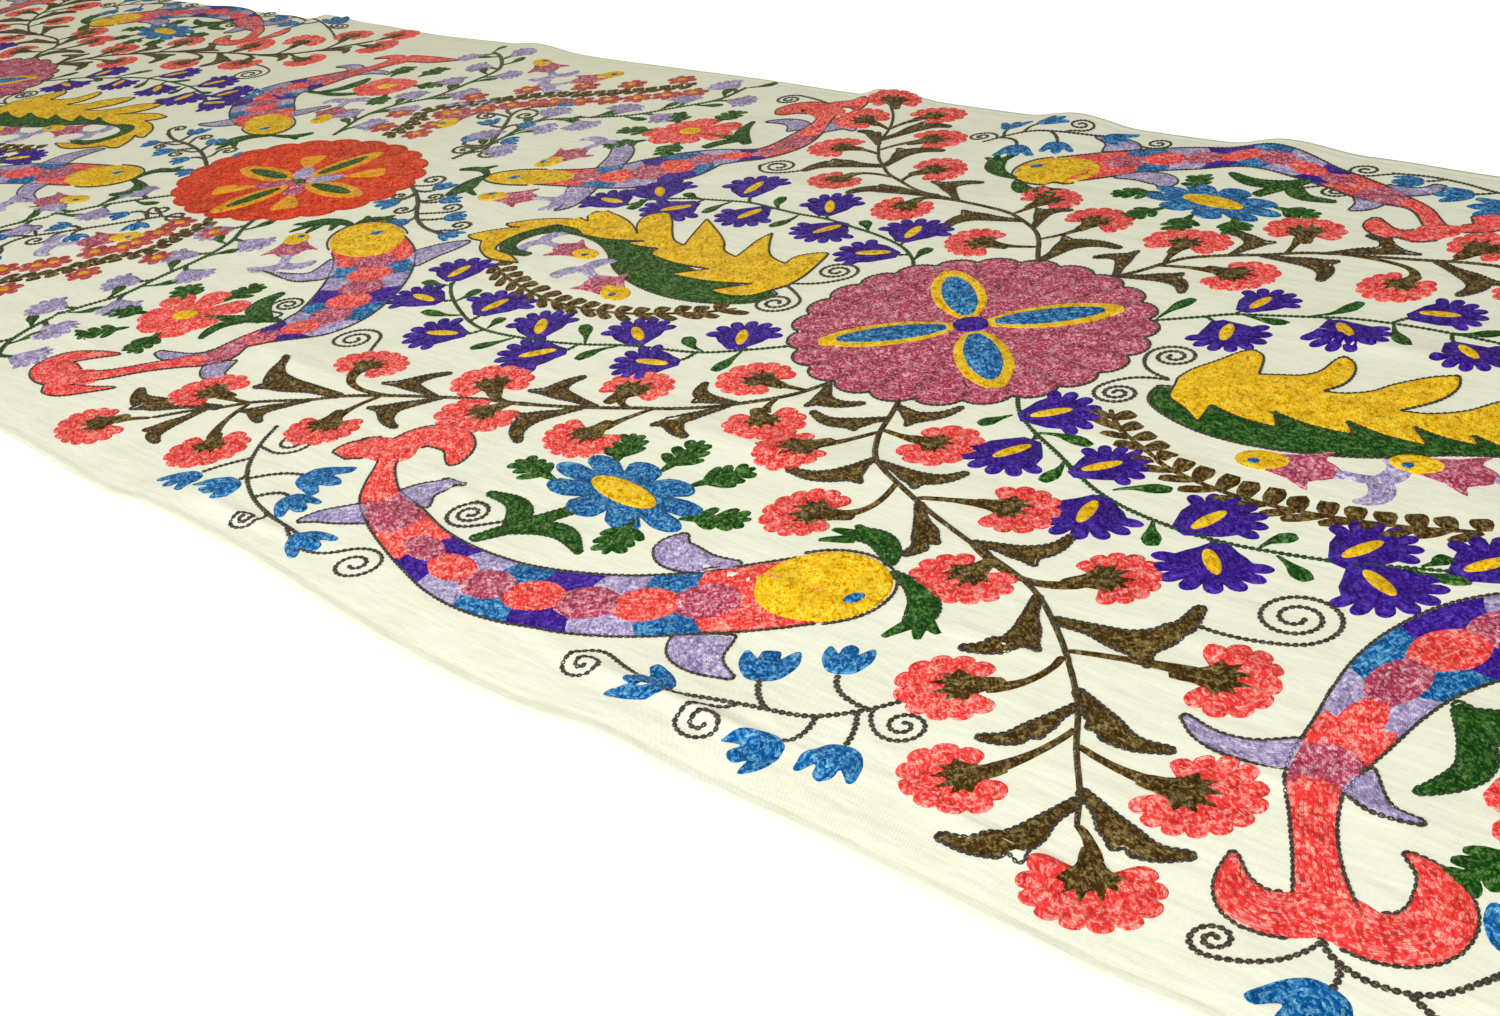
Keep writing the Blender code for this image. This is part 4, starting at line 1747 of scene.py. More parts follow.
CARNATIONS_FAR_LEFT = Vine(
    stem=((-0.20, 0.92), (-0.29, 1.04), (-0.43, 1.25), (-0.57, 1.39), (-0.83, 1.54), (-1.05, 1.58),
          (-1.29, 1.59), (-1.60, 1.62), (-1.86, 1.74), (-2.04, 1.83), (-2.17, 1.94), (-2.30, 2.05),
          (-2.41, 2.18), (-2.54, 2.35), (-2.64, 2.56), (-2.74, 2.74), (-2.85, 2.89), (-2.96, 3.00)),
    blooms=((-0.73, 1.04, 188.0, -0.38, 1.14), (-0.29, 1.68, 85.0, -0.42, 1.24),
            (-0.77, 1.88, 82.0, -0.84, 1.55), (-1.51, 1.31, 278.0, -1.22, 1.59),
            (-1.78, 2.05, 55.0, -1.86, 1.74), (-2.27, 1.54, 268.0, -1.96, 1.78),
            (-2.74, 2.13, 192.0, -2.37, 2.12), (-2.20, 2.58, 45.0, -2.41, 2.20),
            (-2.98, 2.68, 175.0, -2.66, 2.60), (-2.55, 3.04, 62.0, -2.66, 2.60),
            (-3.04, 3.14, 125.0, -2.94, 2.98)),
    horns=(((-0.22, 0.95), (0.08, 1.34), (-0.31, 1.34)),
           ((-0.56, 1.38), (-0.53, 1.76), (-0.74, 1.68)),
           ((-0.72, 1.46), (-1.05, 1.14), (-1.13, 1.45)),
           ((-1.29, 1.59), (-1.34, 1.95), (-1.65, 1.82)),
           ((-1.46, 1.60), (-2.00, 1.35), (-1.92, 1.61)),
           ((-2.17, 1.94), (-2.62, 1.62), (-2.58, 1.90)),
           ((-2.17, 1.94), (-1.99, 2.38), (-2.31, 2.28)),
           ((-2.50, 2.30), (-2.84, 2.47), (-2.68, 2.52)),
           ((-2.55, 2.40), (-2.29, 2.85), (-2.54, 2.85))),
)
CARNATIONS_FAR_RIGHT = Vine(
    stem=((0.28, 0.93), (0.36, 1.08), (0.42, 1.24), (0.50, 1.38), (0.66, 1.50), (0.85, 1.61),
          (1.02, 1.73), (1.26, 1.81), (1.58, 1.90), (1.84, 1.98), (2.10, 2.02), (2.40, 2.10),
          (2.62, 2.30), (2.80, 2.55), (2.95, 2.85)),
    blooms=((0.36, 1.60, 95.0, 0.42, 1.24), (0.85, 2.06, 105.0, 0.93, 1.68),
            (0.88, 1.27, 0.0, 0.42, 1.20), (1.66, 1.50, 262.0, 1.26, 1.80),
            (1.82, 2.25, 76.0, 1.74, 1.95), (2.32, 1.75, 290.0, 1.98, 2.00),
            (2.88, 2.10, 350.0, 2.50, 2.20), (2.22, 2.55, 110.0, 2.36, 2.10),
            (2.52, 2.92, 115.0, 2.70, 2.42), (3.18, 2.72, 10.0, 2.88, 2.70),
            (3.02, 3.10, 70.0, 2.95, 2.85)),
    horns=(((0.29, 0.95), (0.02, 1.14), (0.19, 1.33)), ((0.31, 0.97), (0.73, 0.91), (0.59, 1.15)),
           ((0.68, 1.52), (0.47, 1.83), (0.79, 1.80)), ((0.83, 1.60), (1.28, 1.39), (1.23, 1.69)),
           ((1.12, 1.76), (1.19, 2.13), (1.55, 1.98)), ((1.68, 1.93), (1.97, 1.53), (2.10, 1.78)),
           ((2.20, 2.04), (2.62, 1.98), (2.48, 2.20)), ((2.68, 2.38), (3.06, 2.42), (2.92, 2.60))),
)
IRIS_NEAR_LEFT = IrisVine(
    stem=((-0.67, -0.68), (-0.87, -0.86), (-1.08, -1.01), (-1.47, -1.13), (-1.72, -1.25),
          (-1.96, -1.33), (-2.32, -1.39), (-2.56, -1.36), (-2.84, -1.24), (-3.05, -1.12),
          (-3.20, -1.00)),
    blooms=((-1.00, -0.72, 122.0), (-1.21, -1.24, 215.0), (-1.56, -0.98, 130.0),
            (-1.87, -1.48, 220.0), (-2.15, -1.18, 128.0), (-2.61, -1.56, 200.0),
            (-2.65, -1.09, 105.0), (-3.17, -1.25, 186.0), (-3.32, -0.83, 130.0)),
    clubs=(((-0.87, -0.86), (-0.82, -1.15)), ((-1.05, -0.98), (-1.28, -0.87)),
           ((-1.52, -1.16), (-1.60, -1.42)), ((-1.72, -1.24), (-1.94, -1.04)),
           ((-2.15, -1.37), (-2.27, -1.62)), ((-2.41, -1.38), (-2.46, -1.20)),
           ((-2.70, -1.30), (-3.00, -1.38)), ((-2.93, -1.20), (-2.95, -0.97)),
           ((-3.17, -1.03), (-3.40, -1.06))),
)
IRIS_NEAR_RIGHT = IrisVine(
    stem=((0.72, -0.59), (0.84, -0.74), (1.02, -0.88), (1.24, -1.01), (1.51, -1.18), (1.72, -1.27),
          (1.96, -1.32), (2.24, -1.33), (2.51, -1.28), (2.75, -1.21), (2.96, -1.12), (3.15, -1.04)),
    blooms=((0.99, -0.66, 45.0), (1.05, -1.12, 262.0), (1.49, -1.00, 60.0), (1.66, -1.42, 282.0),
            (2.13, -1.18, 72.0), (2.31, -1.51, 290.0), (2.75, -1.07, 78.0), (2.93, -1.30, 332.0),
            (3.20, -0.93, 62.0)),
    clubs=(((0.83, -0.77), (0.74, -0.95)), ((1.02, -0.89), (1.33, -0.87)),
           ((1.30, -1.04), (1.33, -1.28)), ((1.63, -1.18), (1.86, -1.04)),
           ((1.92, -1.30), (2.04, -1.51)), ((2.40, -1.30), (2.49, -1.12)),
           ((2.48, -1.30), (2.69, -1.42)), ((2.93, -1.13), (3.20, -1.09)),
           ((2.98, -1.09), (3.04, -0.95))),
)
IRIS_FAR_LEFT = IrisVine(
    stem=((-0.79, 0.51), (-0.90, 0.64), (-1.08, 0.77), (-1.34, 0.86), (-1.60, 0.91), (-1.83, 0.95),
          (-2.07, 0.94), (-2.27, 0.95), (-2.51, 0.96), (-2.74, 0.90), (-2.93, 0.84), (-3.11, 0.75),
          (-3.24, 0.66)),
    blooms=((-1.18, 1.02, 108.0), (-1.19, 0.60, 195.0), (-1.96, 1.14, 122.0), (-1.70, 0.78, 258.0),
            (-2.68, 1.20, 122.0), (-2.35, 0.77, 262.0), (-2.89, 0.63, 250.0), (-3.25, 0.86, 132.0),
            (-3.43, 0.57, 165.0)),
    clubs=(((-0.88, 0.62), (-0.92, 0.85)), ((-1.44, 0.88), (-1.61, 1.04)),
           ((-2.05, 0.94), (-2.08, 0.67)), ((-2.24, 0.95), (-2.37, 1.15)),
           ((-2.63, 0.93), (-2.65, 0.66)), ((-2.86, 0.87), (-3.06, 0.92)),
           ((-3.20, 0.70), (-3.17, 0.48))),
)
IRIS_FAR_RIGHT = IrisVine(
    stem=((0.80, 0.52), (0.97, 0.66), (1.11, 0.77), (1.26, 0.82), (1.46, 0.90), (1.70, 1.01),
          (2.02, 1.06), (2.39, 1.06), (2.70, 1.02), (2.95, 0.95), (3.20, 0.84)),
    blooms=((1.17, 0.99, 76.0), (1.22, 0.54, 322.0), (1.73, 0.80, 320.0), (2.02, 1.27, 42.0),
            (2.34, 0.85, 322.0), (2.72, 1.24, 62.0), (2.90, 0.78, 305.0), (3.38, 0.82, 10.0),
            (3.20, 1.08, 60.0)),
    clubs=(((0.80, 0.54), (0.83, 0.89)), ((1.17, 0.79), (1.44, 0.77)), ((1.46, 0.90), (1.60, 1.25)),
           ((1.86, 1.05), (2.06, 0.78)), ((2.12, 1.06), (2.36, 1.20)), ((2.55, 1.04), (2.62, 0.80)),
           ((2.80, 0.98), (3.02, 1.00))),
)
NEAR_FISH = Fish(
    spine=((-1.56, -2.68, 0.070), (-1.48, -2.79, 0.050), (-1.35, -2.92, 0.075), (-1.20, -3.03, 0.102),
           (-0.98, -3.11, 0.132), (-0.74, -3.19, 0.142), (-0.52, -3.24, 0.160), (-0.28, -3.27, 0.190),
           (-0.04, -3.26, 0.210), (0.22, -3.19, 0.225), (0.50, -3.06, 0.235), (0.75, -2.87, 0.245),
           (0.95, -2.67, 0.265), (1.12, -2.48, 0.270)),
    horns=(((-1.53, -2.71, 0.070), (-1.58, -2.57, 0.110), (-1.54, -2.45, 0.120),
            (-1.42, -2.43, 0.110), (-1.30, -2.47, 0.080), (-1.22, -2.56, 0.055), (-1.18, -2.62, 0.018)),
           ((-1.53, -2.73, 0.070), (-1.66, -2.71, 0.100), (-1.76, -2.77, 0.105), (-1.78, -2.86, 0.070)),
           ((-1.60, -2.64, 0.090), (-1.72, -2.66, 0.070), (-1.80, -2.72, 0.060))),
    fins=(((-1.05, -3.01, 0.140), (-1.08, -2.89, 0.100), (-1.04, -2.79, 0.058), (-0.95, -2.71, 0.012)),
          ((-1.12, -3.14, 0.110), (-1.23, -3.24, 0.085), (-1.31, -3.31, 0.055), (-1.36, -3.40, 0.012)),
          ((0.70, -2.56, 0.040), (0.56, -2.63, 0.080), (0.42, -2.64, 0.105), (0.32, -2.58, 0.080),
           (0.30, -2.48, 0.015)),
          ((0.94, -3.02, 0.130), (1.00, -3.13, 0.125), (1.11, -3.195, 0.075), (1.265, -3.205, 0.012))),
    head=(1.10, -2.49), head_turn=48.0, head_size=(0.29, 0.275), eye=(1.275, -2.50),
)
FAR_FISH = replace(
    NEAR_FISH,
    spine=((-1.53, -2.51, 0.070), (-1.44, -2.63, 0.060), (-1.33, -2.77, 0.058), (-1.22, -2.85, 0.064),
           (-1.09, -2.89, 0.100), (-0.91, -2.96, 0.140), (-0.70, -3.06, 0.145), (-0.49, -3.13, 0.165),
           (-0.15, -3.20, 0.205), (0.20, -3.18, 0.225), (0.50, -3.05, 0.235), *NEAR_FISH.spine[-3:]),
    horns=(((-1.50, -2.54, 0.080), (-1.50, -2.42, 0.110), (-1.38, -2.35, 0.085),
            (-1.26, -2.37, 0.080), (-1.17, -2.46, 0.070), (-1.13, -2.56, 0.025)),
           ((-1.52, -2.55, 0.080), (-1.64, -2.60, 0.060), (-1.74, -2.69, 0.090),
            (-1.72, -2.80, 0.110), (-1.62, -2.86, 0.060))),
    fins=(((-0.95, -3.03, 0.110), (-1.12, -3.07, 0.075), (-1.20, -3.15, 0.065), (-1.21, -3.26, 0.040)),
          ((-0.93, -2.92, 0.120), (-0.98, -2.78, 0.090), (-0.97, -2.68, 0.060), (-0.93, -2.61, 0.015)),
          *NEAR_FISH.fins[-2:]),
)
LEFT_FISH = Fish(
    spine=((-4.00, -3.06, 0.075), (-3.88, -2.93, 0.062), (-3.78, -2.78, 0.060), (-3.65, -2.62, 0.075),
           (-3.54, -2.46, 0.120), (-3.56, -2.29, 0.085), (-3.51, -2.16, 0.125), (-3.46, -2.02, 0.180),
           (-3.44, -1.87, 0.230), (-3.47, -1.67, 0.255), (-3.64, -1.38, 0.270), (-3.86, -1.12, 0.270),
           (-4.10, -0.92, 0.260), (-4.38, -0.78, 0.240)),
    horns=(((-3.98, -3.07, 0.080), (-4.16, -3.12, 0.130), (-4.33, -3.07, 0.130),
            (-4.37, -2.96, 0.100), (-4.27, -2.85, 0.060), (-4.12, -2.75, 0.012)),
           ((-4.00, -3.06, 0.090), (-4.02, -3.18, 0.120), (-3.92, -3.21, 0.080),
            (-3.80, -3.13, 0.040), (-3.68, -3.03, 0.010))),
    fins=(((-3.56, -2.48, 0.080), (-3.69, -2.57, 0.060), (-3.82, -2.61, 0.055), (-3.94, -2.61, 0.025)),
          ((-3.44, -2.48, 0.090), (-3.37, -2.58, 0.085), (-3.29, -2.63, 0.060), (-3.21, -2.61, 0.018)),
          ((-3.78, -0.92, 0.130), (-3.78, -0.72, 0.110), (-3.74, -0.56, 0.080), (-3.70, -0.44, 0.020)),
          ((-4.24, -1.08, 0.080), (-4.12, -1.28, 0.110), (-4.20, -1.43, 0.070), (-4.52, -1.49, 0.012))),
    head=(-4.39, -0.76), head_turn=152.0, head_size=(0.36, 0.25), eye=(-4.42, -0.66),
    bands=((0.22, Thread.CORAL), (0.32, Thread.MAUVE), (0.37, Thread.CORAL)),
)
FAR_LEFT_FISH = Fish(
    spine=((-3.30, 2.70, 0.080), (-3.23, 2.52, 0.075), (-3.17, 2.34, 0.105), (-3.12, 2.12, 0.125),
           (-3.11, 1.94, 0.125), (-3.16, 1.78, 0.125), (-3.28, 1.68, 0.145), (-3.41, 1.57, 0.200),
           (-3.49, 1.42, 0.270), (-3.55, 1.24, 0.310), (-3.66, 1.06, 0.300), (-3.82, 0.92, 0.240),
           (-4.04, 0.80, 0.185), (-4.36, 0.67, 0.145)),
    horns=(((-3.34, 2.72, 0.100), (-3.48, 2.80, 0.130), (-3.63, 2.80, 0.150), (-3.70, 2.68, 0.120),
            (-3.69, 2.58, 0.040)),
           ((-3.38, 2.75, 0.120), (-3.42, 2.90, 0.130), (-3.34, 2.98, 0.110), (-3.22, 2.92, 0.090),
            (-3.12, 2.81, 0.020))),
    fins=(((-3.28, 2.34, 0.100), (-3.40, 2.45, 0.080), (-3.54, 2.46, 0.060), (-3.67, 2.39, 0.015)),
          ((-3.14, 2.36, 0.080), (-3.08, 2.46, 0.090), (-2.98, 2.52, 0.070), (-2.87, 2.46, 0.015)),
          ((-3.86, 0.74, 0.120), (-3.76, 0.58, 0.100), (-3.67, 0.45, 0.070), (-3.62, 0.33, 0.040),
           (-3.64, 0.24, 0.012)),
          ((-3.94, 1.00, 0.100), (-4.02, 1.15, 0.095), (-4.12, 1.32, 0.090), (-4.24, 1.45, 0.080),
           (-4.36, 1.54, 0.040))),
    head=(-4.36, 0.66), head_turn=204.0, head_size=(0.35, 0.158), eye=(-4.46, 0.59),
    bands=((0.16, Thread.CORAL), (0.27, Thread.MAUVE), (0.34, Thread.CORAL)),
)
FAR_RIGHT_FISH = Fish(
    spine=((3.86, 2.42, 0.085), (3.85, 2.24, 0.075), (3.83, 2.08, 0.090), (3.77, 1.92, 0.130),
           (3.72, 1.72, 0.190), (3.67, 1.50, 0.240), (3.65, 1.30, 0.260), (3.75, 1.10, 0.270),
           (3.95, 0.92, 0.275), (4.18, 0.78, 0.265), (4.46, 0.65, 0.215)),
    horns=(((3.86, 2.42, 0.090), (3.88, 2.53, 0.100), (4.02, 2.57, 0.095), (4.22, 2.61, 0.085),
            (4.45, 2.69, 0.015)),
           ((3.86, 2.44, 0.090), (3.76, 2.52, 0.075), (3.64, 2.50, 0.050), (3.56, 2.40, 0.012))),
    fins=(((3.80, 2.02, 0.090), (3.66, 2.12, 0.075), (3.55, 2.13, 0.055), (3.44, 2.06, 0.018)),
          ((3.84, 2.00, 0.080), (3.96, 2.08, 0.060), (4.08, 2.11, 0.045), (4.20, 2.10, 0.012)),
          ((4.14, 0.56, 0.110), (4.05, 0.46, 0.090), (3.96, 0.39, 0.050), (3.86, 0.35, 0.015)),
          ((4.34, 0.84, 0.110), (4.46, 0.98, 0.080), (4.50, 1.10, 0.050), (4.56, 1.21, 0.015))),
    head=(4.50, 0.62), head_turn=335.0, head_size=(0.33, 0.20), eye=(4.60, 0.52),
    bands=((0.20, Thread.CORAL), (0.28, Thread.MAUVE), (0.35, Thread.CORAL)),
)
RIGHT_FISH = Fish(
    spine=((3.63, -3.12, 0.100), (3.49, -2.91, 0.072), (3.37, -2.70, 0.076), (3.29, -2.50, 0.112),
           (3.27, -2.20, 0.145), (3.26, -2.00, 0.170), (3.27, -1.80, 0.200), (3.32, -1.60, 0.230),
           (3.42, -1.38, 0.250), (3.62, -1.19, 0.255), (3.89, -1.05, 0.255), (4.16, -0.95, 0.250),
           (4.41, -0.87, 0.235)),
    horns=(((3.62, -3.08, 0.100), (3.76, -3.12, 0.110), (3.88, -3.06, 0.115), (3.90, -2.94, 0.105),
            (3.86, -2.84, 0.085), (3.79, -2.76, 0.050), (3.68, -2.715, 0.010)),
           ((3.62, -3.10, 0.100), (3.53, -3.19, 0.110), (3.43, -3.21, 0.100), (3.33, -3.14, 0.060),
            (3.26, -3.01, 0.010))),
    fins=(((3.22, -2.42, 0.10), (3.06, -2.52, 0.075), (2.90, -2.53, 0.050), (2.75, -2.46, 0.015)),
          ((3.36, -2.44, 0.09), (3.48, -2.54, 0.060), (3.58, -2.57, 0.030), (3.68, -2.56, 0.010)),
          ((3.70, -0.95, 0.13), (3.62, -0.74, 0.11), (3.64, -0.56, 0.07), (3.70, -0.44, 0.02)),
          ((4.05, -1.12, 0.10), (4.12, -1.30, 0.10), (4.26, -1.42, 0.06), (4.48, -1.46, 0.012))),
    head=(4.43, -0.86), head_turn=18.0, head_size=(0.33, 0.25), eye=(4.49, -0.77),
    bands=((0.20, Thread.CORAL), (0.265, Thread.MAUVE), (0.345, Thread.CORAL)),
    tiles=5,
)
TULIPS_NEAR_LEFT = TulipSpray(
    stem=((-2.38, -2.82), (-2.25, -3.02), (-2.05, -3.22), (-1.80, -3.36), (-1.55, -3.43),
          (-1.30, -3.46)),
    tulips=((-1.65, -3.07, 10.0), (-1.53, -3.29, 345.0), (-1.15, -3.49, 350.0), (-2.00, -3.41, 262.0),
            (-2.24, -3.47, 265.0)),
    curls=((-2.12, -2.90, 0.13, 250.0, 1.0), (-1.60, -3.53, 0.09, 35.0, -1.0),
           (-0.78, -3.49, 0.15, 160.0, -1.0)),
)
TULIPS_NEAR_RIGHT = TulipSpray(
    stem=((1.88, -2.95), (1.80, -3.08), (1.66, -3.22), (1.45, -3.30), (1.25, -3.38), (1.12, -3.44)),
    tulips=((1.53, -2.86, 115.0), (1.30, -3.06, 120.0), (1.03, -3.43, 178.0), (1.91, -3.38, 284.0),
            (1.64, -3.49, 240.0)),
    curls=((1.98, -3.07, 0.11, 220.0, 1.0), (1.38, -3.50, 0.12, 100.0, 1.0),
           (0.70, -3.46, 0.12, 60.0, 1.0)),
)


TULIPS_FAR_RIGHT = TulipSpray(
    stem=((2.42, 2.78), (2.20, 2.90), (1.95, 3.00), (1.72, 3.06), (1.50, 3.10), (1.28, 3.17),
          (1.06, 3.20), (0.84, 3.17)),
    tulips=((0.99, 3.07, 205.0), (1.33, 2.97, 205.0), (1.60, 2.86, 200.0), (1.92, 3.16, 150.0)),
    curls=((0.68, 3.16, 0.12, 330.0, -1.0), (2.10, 3.08, 0.10, 200.0, 1.0)),
)
TULIPS_BY_FLUKE = TulipSpray(
    stem=((3.65, -3.20), (3.72, -3.27), (3.86, -3.30), (4.02, -3.24), (4.14, -3.04)),
    tulips=((4.12, -2.86, 100.0), (3.77, -3.50, 262.0), (4.24, -3.36, 350.0)),
    curls=((3.42, -3.41, 0.085, 300.0, -1.0),),
)


@dataclass(frozen=True)
class Foliage(Motif):
    """Green leaves worked along curved spines, some with fingers at their ends."""

    spines: tuple
    fingers: tuple = ()

    def work(self, needle: Needlework, spot: Spot) -> None:
        """Work the leaves.

        Args:
            needle: Where the stitches are laid.
            spot: Where the plant is.
        """
        for spine in self.spines:
            rim = needle.strip(spot, spine, Thread.GREEN, layer=0.2, step=0.008)
            needle.chain(spot, rim, Thread.GREEN, layer=0.3, closed=True)
        for root, tip in self.fingers:
            needle.strip(spot, [(*root, 0.045), (*tip, 0.016)], Thread.GREEN, layer=0.4, per_span=4)


MOUTH_LEAVES = Foliage(
    spines=(((1.23, -2.21, 0.020), (1.15, -2.12, 0.050), (1.04, -2.06, 0.060), (0.93, -2.08, 0.050)),
            ((1.27, -2.25, 0.015), (1.42, -2.29, 0.042), (1.54, -2.38, 0.065), (1.60, -2.51, 0.060))),
    fingers=(((0.98, -2.06), (0.88, -2.01)), ((0.96, -2.08), (0.81, -2.10)),
             ((0.97, -2.11), (0.82, -2.21)), ((1.58, -2.46), (1.72, -2.52)),
             ((1.60, -2.48), (1.67, -2.60)), ((1.58, -2.50), (1.54, -2.66))),
)
MOUTH_LEAVES_LEFT = Foliage(
    spines=(((-4.70, -0.64, 0.015), (-4.86, -0.62, 0.035), (-5.00, -0.68, 0.060),
             (-5.08, -0.78, 0.050)),
            ((-4.70, -0.64, 0.012), (-4.74, -0.54, 0.028), (-4.68, -0.45, 0.030),
             (-4.53, -0.41, 0.012)),
            ((-4.71, 0.55, 0.012), (-4.84, 0.62, 0.030), (-4.94, 0.60, 0.035), (-5.02, 0.54, 0.012)),
            ((-4.71, 0.54, 0.015), (-4.70, 0.42, 0.045), (-4.64, 0.27, 0.075), (-4.62, 0.10, 0.018))),
    fingers=(((-5.06, -0.74), (-5.18, -0.82)), ((-5.04, -0.76), (-5.06, -0.94)),
             ((-4.98, -0.72), (-4.92, -0.90)), ((-4.90, -0.64), (-4.80, -0.78)),
             ((-4.72, -0.52), (-4.82, -0.44)), ((-4.66, -0.46), (-4.62, -0.34)),
             ((-4.88, 0.60), (-4.82, 0.75)), ((-4.64, 0.28), (-4.42, 0.20))),
)
MOUTH_LEAVES_RIGHT = Foliage(
    spines=(((4.76, -0.78, 0.015), (4.74, -0.66, 0.030), (4.77, -0.56, 0.045), (4.88, -0.52, 0.030),
             (4.97, -0.46, 0.012)),
            ((4.76, -0.80, 0.015), (4.92, -0.83, 0.030), (5.05, -0.91, 0.070), (5.06, -1.02, 0.060),
             (4.95, -1.10, 0.012)),
            ((4.84, 0.46, 0.020), (4.68, 0.34, 0.050), (4.63, 0.22, 0.075), (4.67, 0.10, 0.050)),
            ((4.84, 0.44, 0.014), (5.00, 0.48, 0.030), (5.08, 0.54, 0.035), (5.12, 0.64, 0.012))),
    fingers=(((4.66, 0.14), (4.56, 0.05)), ((4.67, 0.12), (4.71, -0.03)),
             ((4.66, 0.18), (4.81, 0.09)), ((4.86, -0.52), (4.86, -0.40)),
             ((5.04, 0.50), (5.14, 0.46))),
)
FLOWER_PLANT = Foliage(
    spines=(((-0.50, -3.05, 0.025), (-0.44, -2.92, 0.042), (-0.38, -2.78, 0.045),
             (-0.31, -2.60, 0.036)),
            ((-0.44, -2.86, 0.045), (-0.50, -2.76, 0.060), (-0.61, -2.70, 0.045),
             (-0.79, -2.71, 0.018)),
            ((-0.42, -2.90, 0.030), (-0.30, -2.80, 0.055), (-0.16, -2.78, 0.050),
             (0.02, -2.865, 0.012))),
)
DAISY_PLANT = Foliage(
    spines=(((-3.66, -1.94, 0.020), (-3.84, -2.02, 0.050), (-4.04, -2.10, 0.032),
             (-4.22, -2.16, 0.022)),
            ((-3.74, -1.97, 0.030), (-3.93, -1.92, 0.075), (-4.04, -1.80, 0.055),
             (-4.07, -1.64, 0.018)),
            ((-3.86, -2.06, 0.030), (-3.94, -2.16, 0.042), (-3.93, -2.27, 0.034),
             (-3.88, -2.36, 0.012))),
)
RIGHT_PLANT = Foliage(
    spines=(((3.47, -1.88, 0.020), (3.65, -1.96, 0.050), (3.85, -2.04, 0.032), (4.03, -2.10, 0.022)),
            ((3.55, -1.91, 0.030), (3.74, -1.86, 0.075), (3.85, -1.74, 0.055), (3.88, -1.58, 0.018)),
            ((3.50, -1.90, 0.030), (3.62, -2.05, 0.058), (3.68, -2.20, 0.062), (3.64, -2.33, 0.042),
             (3.58, -2.42, 0.015))),
)
FAR_RIGHT_PLANT = Foliage(
    spines=(((4.04, 1.43, 0.015), (4.15, 1.58, 0.045), (4.17, 1.76, 0.060), (4.13, 1.93, 0.015)),
            ((4.06, 1.43, 0.015), (4.24, 1.45, 0.035), (4.40, 1.52, 0.030), (4.48, 1.60, 0.012)),
            ((3.86, 1.44, 0.015), (3.96, 1.42, 0.022), (4.08, 1.43, 0.020))),
)
FAR_LEFT_PLANT = Foliage(
    spines=(((-3.76, 2.36, 0.010), (-3.70, 2.20, 0.035), (-3.60, 2.05, 0.055), (-3.42, 1.92, 0.030)),
            ((-3.90, 1.95, 0.012), (-3.75, 1.97, 0.028), (-3.58, 2.00, 0.045)),
            ((-3.66, 1.72, 0.035), (-3.63, 1.85, 0.045), (-3.54, 1.97, 0.035))),
)


GARLAND = ((1.18, -0.48), (1.30, -0.62), (1.48, -0.74), (1.69, -0.86), (1.90, -0.92), (2.12, -0.95),
           (2.36, -0.94), (2.60, -0.89), (2.84, -0.82), (3.08, -0.71))
# Motifs that stand at a pink cell's own centre, in the order of work
ROUND_THE_MEDALLION = (
    CARNATIONS_NEAR_RIGHT, CARNATIONS_NEAR_LEFT, CARNATIONS_FAR_LEFT, CARNATIONS_FAR_RIGHT,
    IRIS_NEAR_LEFT, IRIS_NEAR_RIGHT, IRIS_FAR_LEFT, IRIS_FAR_RIGHT, Paisley(), TULIPS_NEAR_LEFT,
    TULIPS_NEAR_RIGHT, TULIPS_BY_FLUKE, Feather(GARLAND),
    Feather(tuple((-u - 0.12, v + 0.06) for u, v in GARLAND), hand=-1), PinkMedallion(),
)
AT_THE_ENDS = (
    TULIPS_FAR_RIGHT, LEFT_FISH, DAISY_PLANT, FAR_LEFT_FISH, FAR_LEFT_PLANT, RIGHT_FISH, RIGHT_PLANT,
    FAR_RIGHT_FISH, FAR_RIGHT_PLANT,
)
# The cell's single curls: u, v, radius, turns, entry angle, hand, then its tail's u and v
CURLS = (
    (-3.00, -1.88, 0.165, 2.2, 20.0, 1.0, 0.24, -0.06),
    (-3.86, -1.75, 0.130, 2.2, 300.0, -1.0, 0.10, -0.30),
    (-2.84, 1.62, 0.160, 2.2, 330.0, -1.0, 0.22, 0.05),
    (-3.90, 2.92, 0.120, 2.0, 70.0, 1.0, 0.40, 0.02),
    (1.13, 0.17, 0.140, 2.2, 215.0, -1.0, 0.12, -0.24),
    (1.12, -0.33, 0.125, 2.2, 150.0, 1.0, 0.14, 0.25),
    (-1.17, 0.27, 0.145, 2.2, -45.0, 1.0, -0.12, -0.27),
    (-1.17, -0.27, 0.150, 2.2, 70.0, -1.0, -0.12, 0.23),
)
# The fish by the paisleys: u, v, the way each faces, its size and whether it is mirrored
PAISLEY_FISH = (
    (-2.15, -0.61, 338.0, 1.0, 1.0), (-2.82, -0.24, 356.0, 0.86, 1.0),
    (2.06, -0.60, 188.0, 1.0, -1.0), (2.63, -0.31, 188.0, 1.0, -1.0),
)


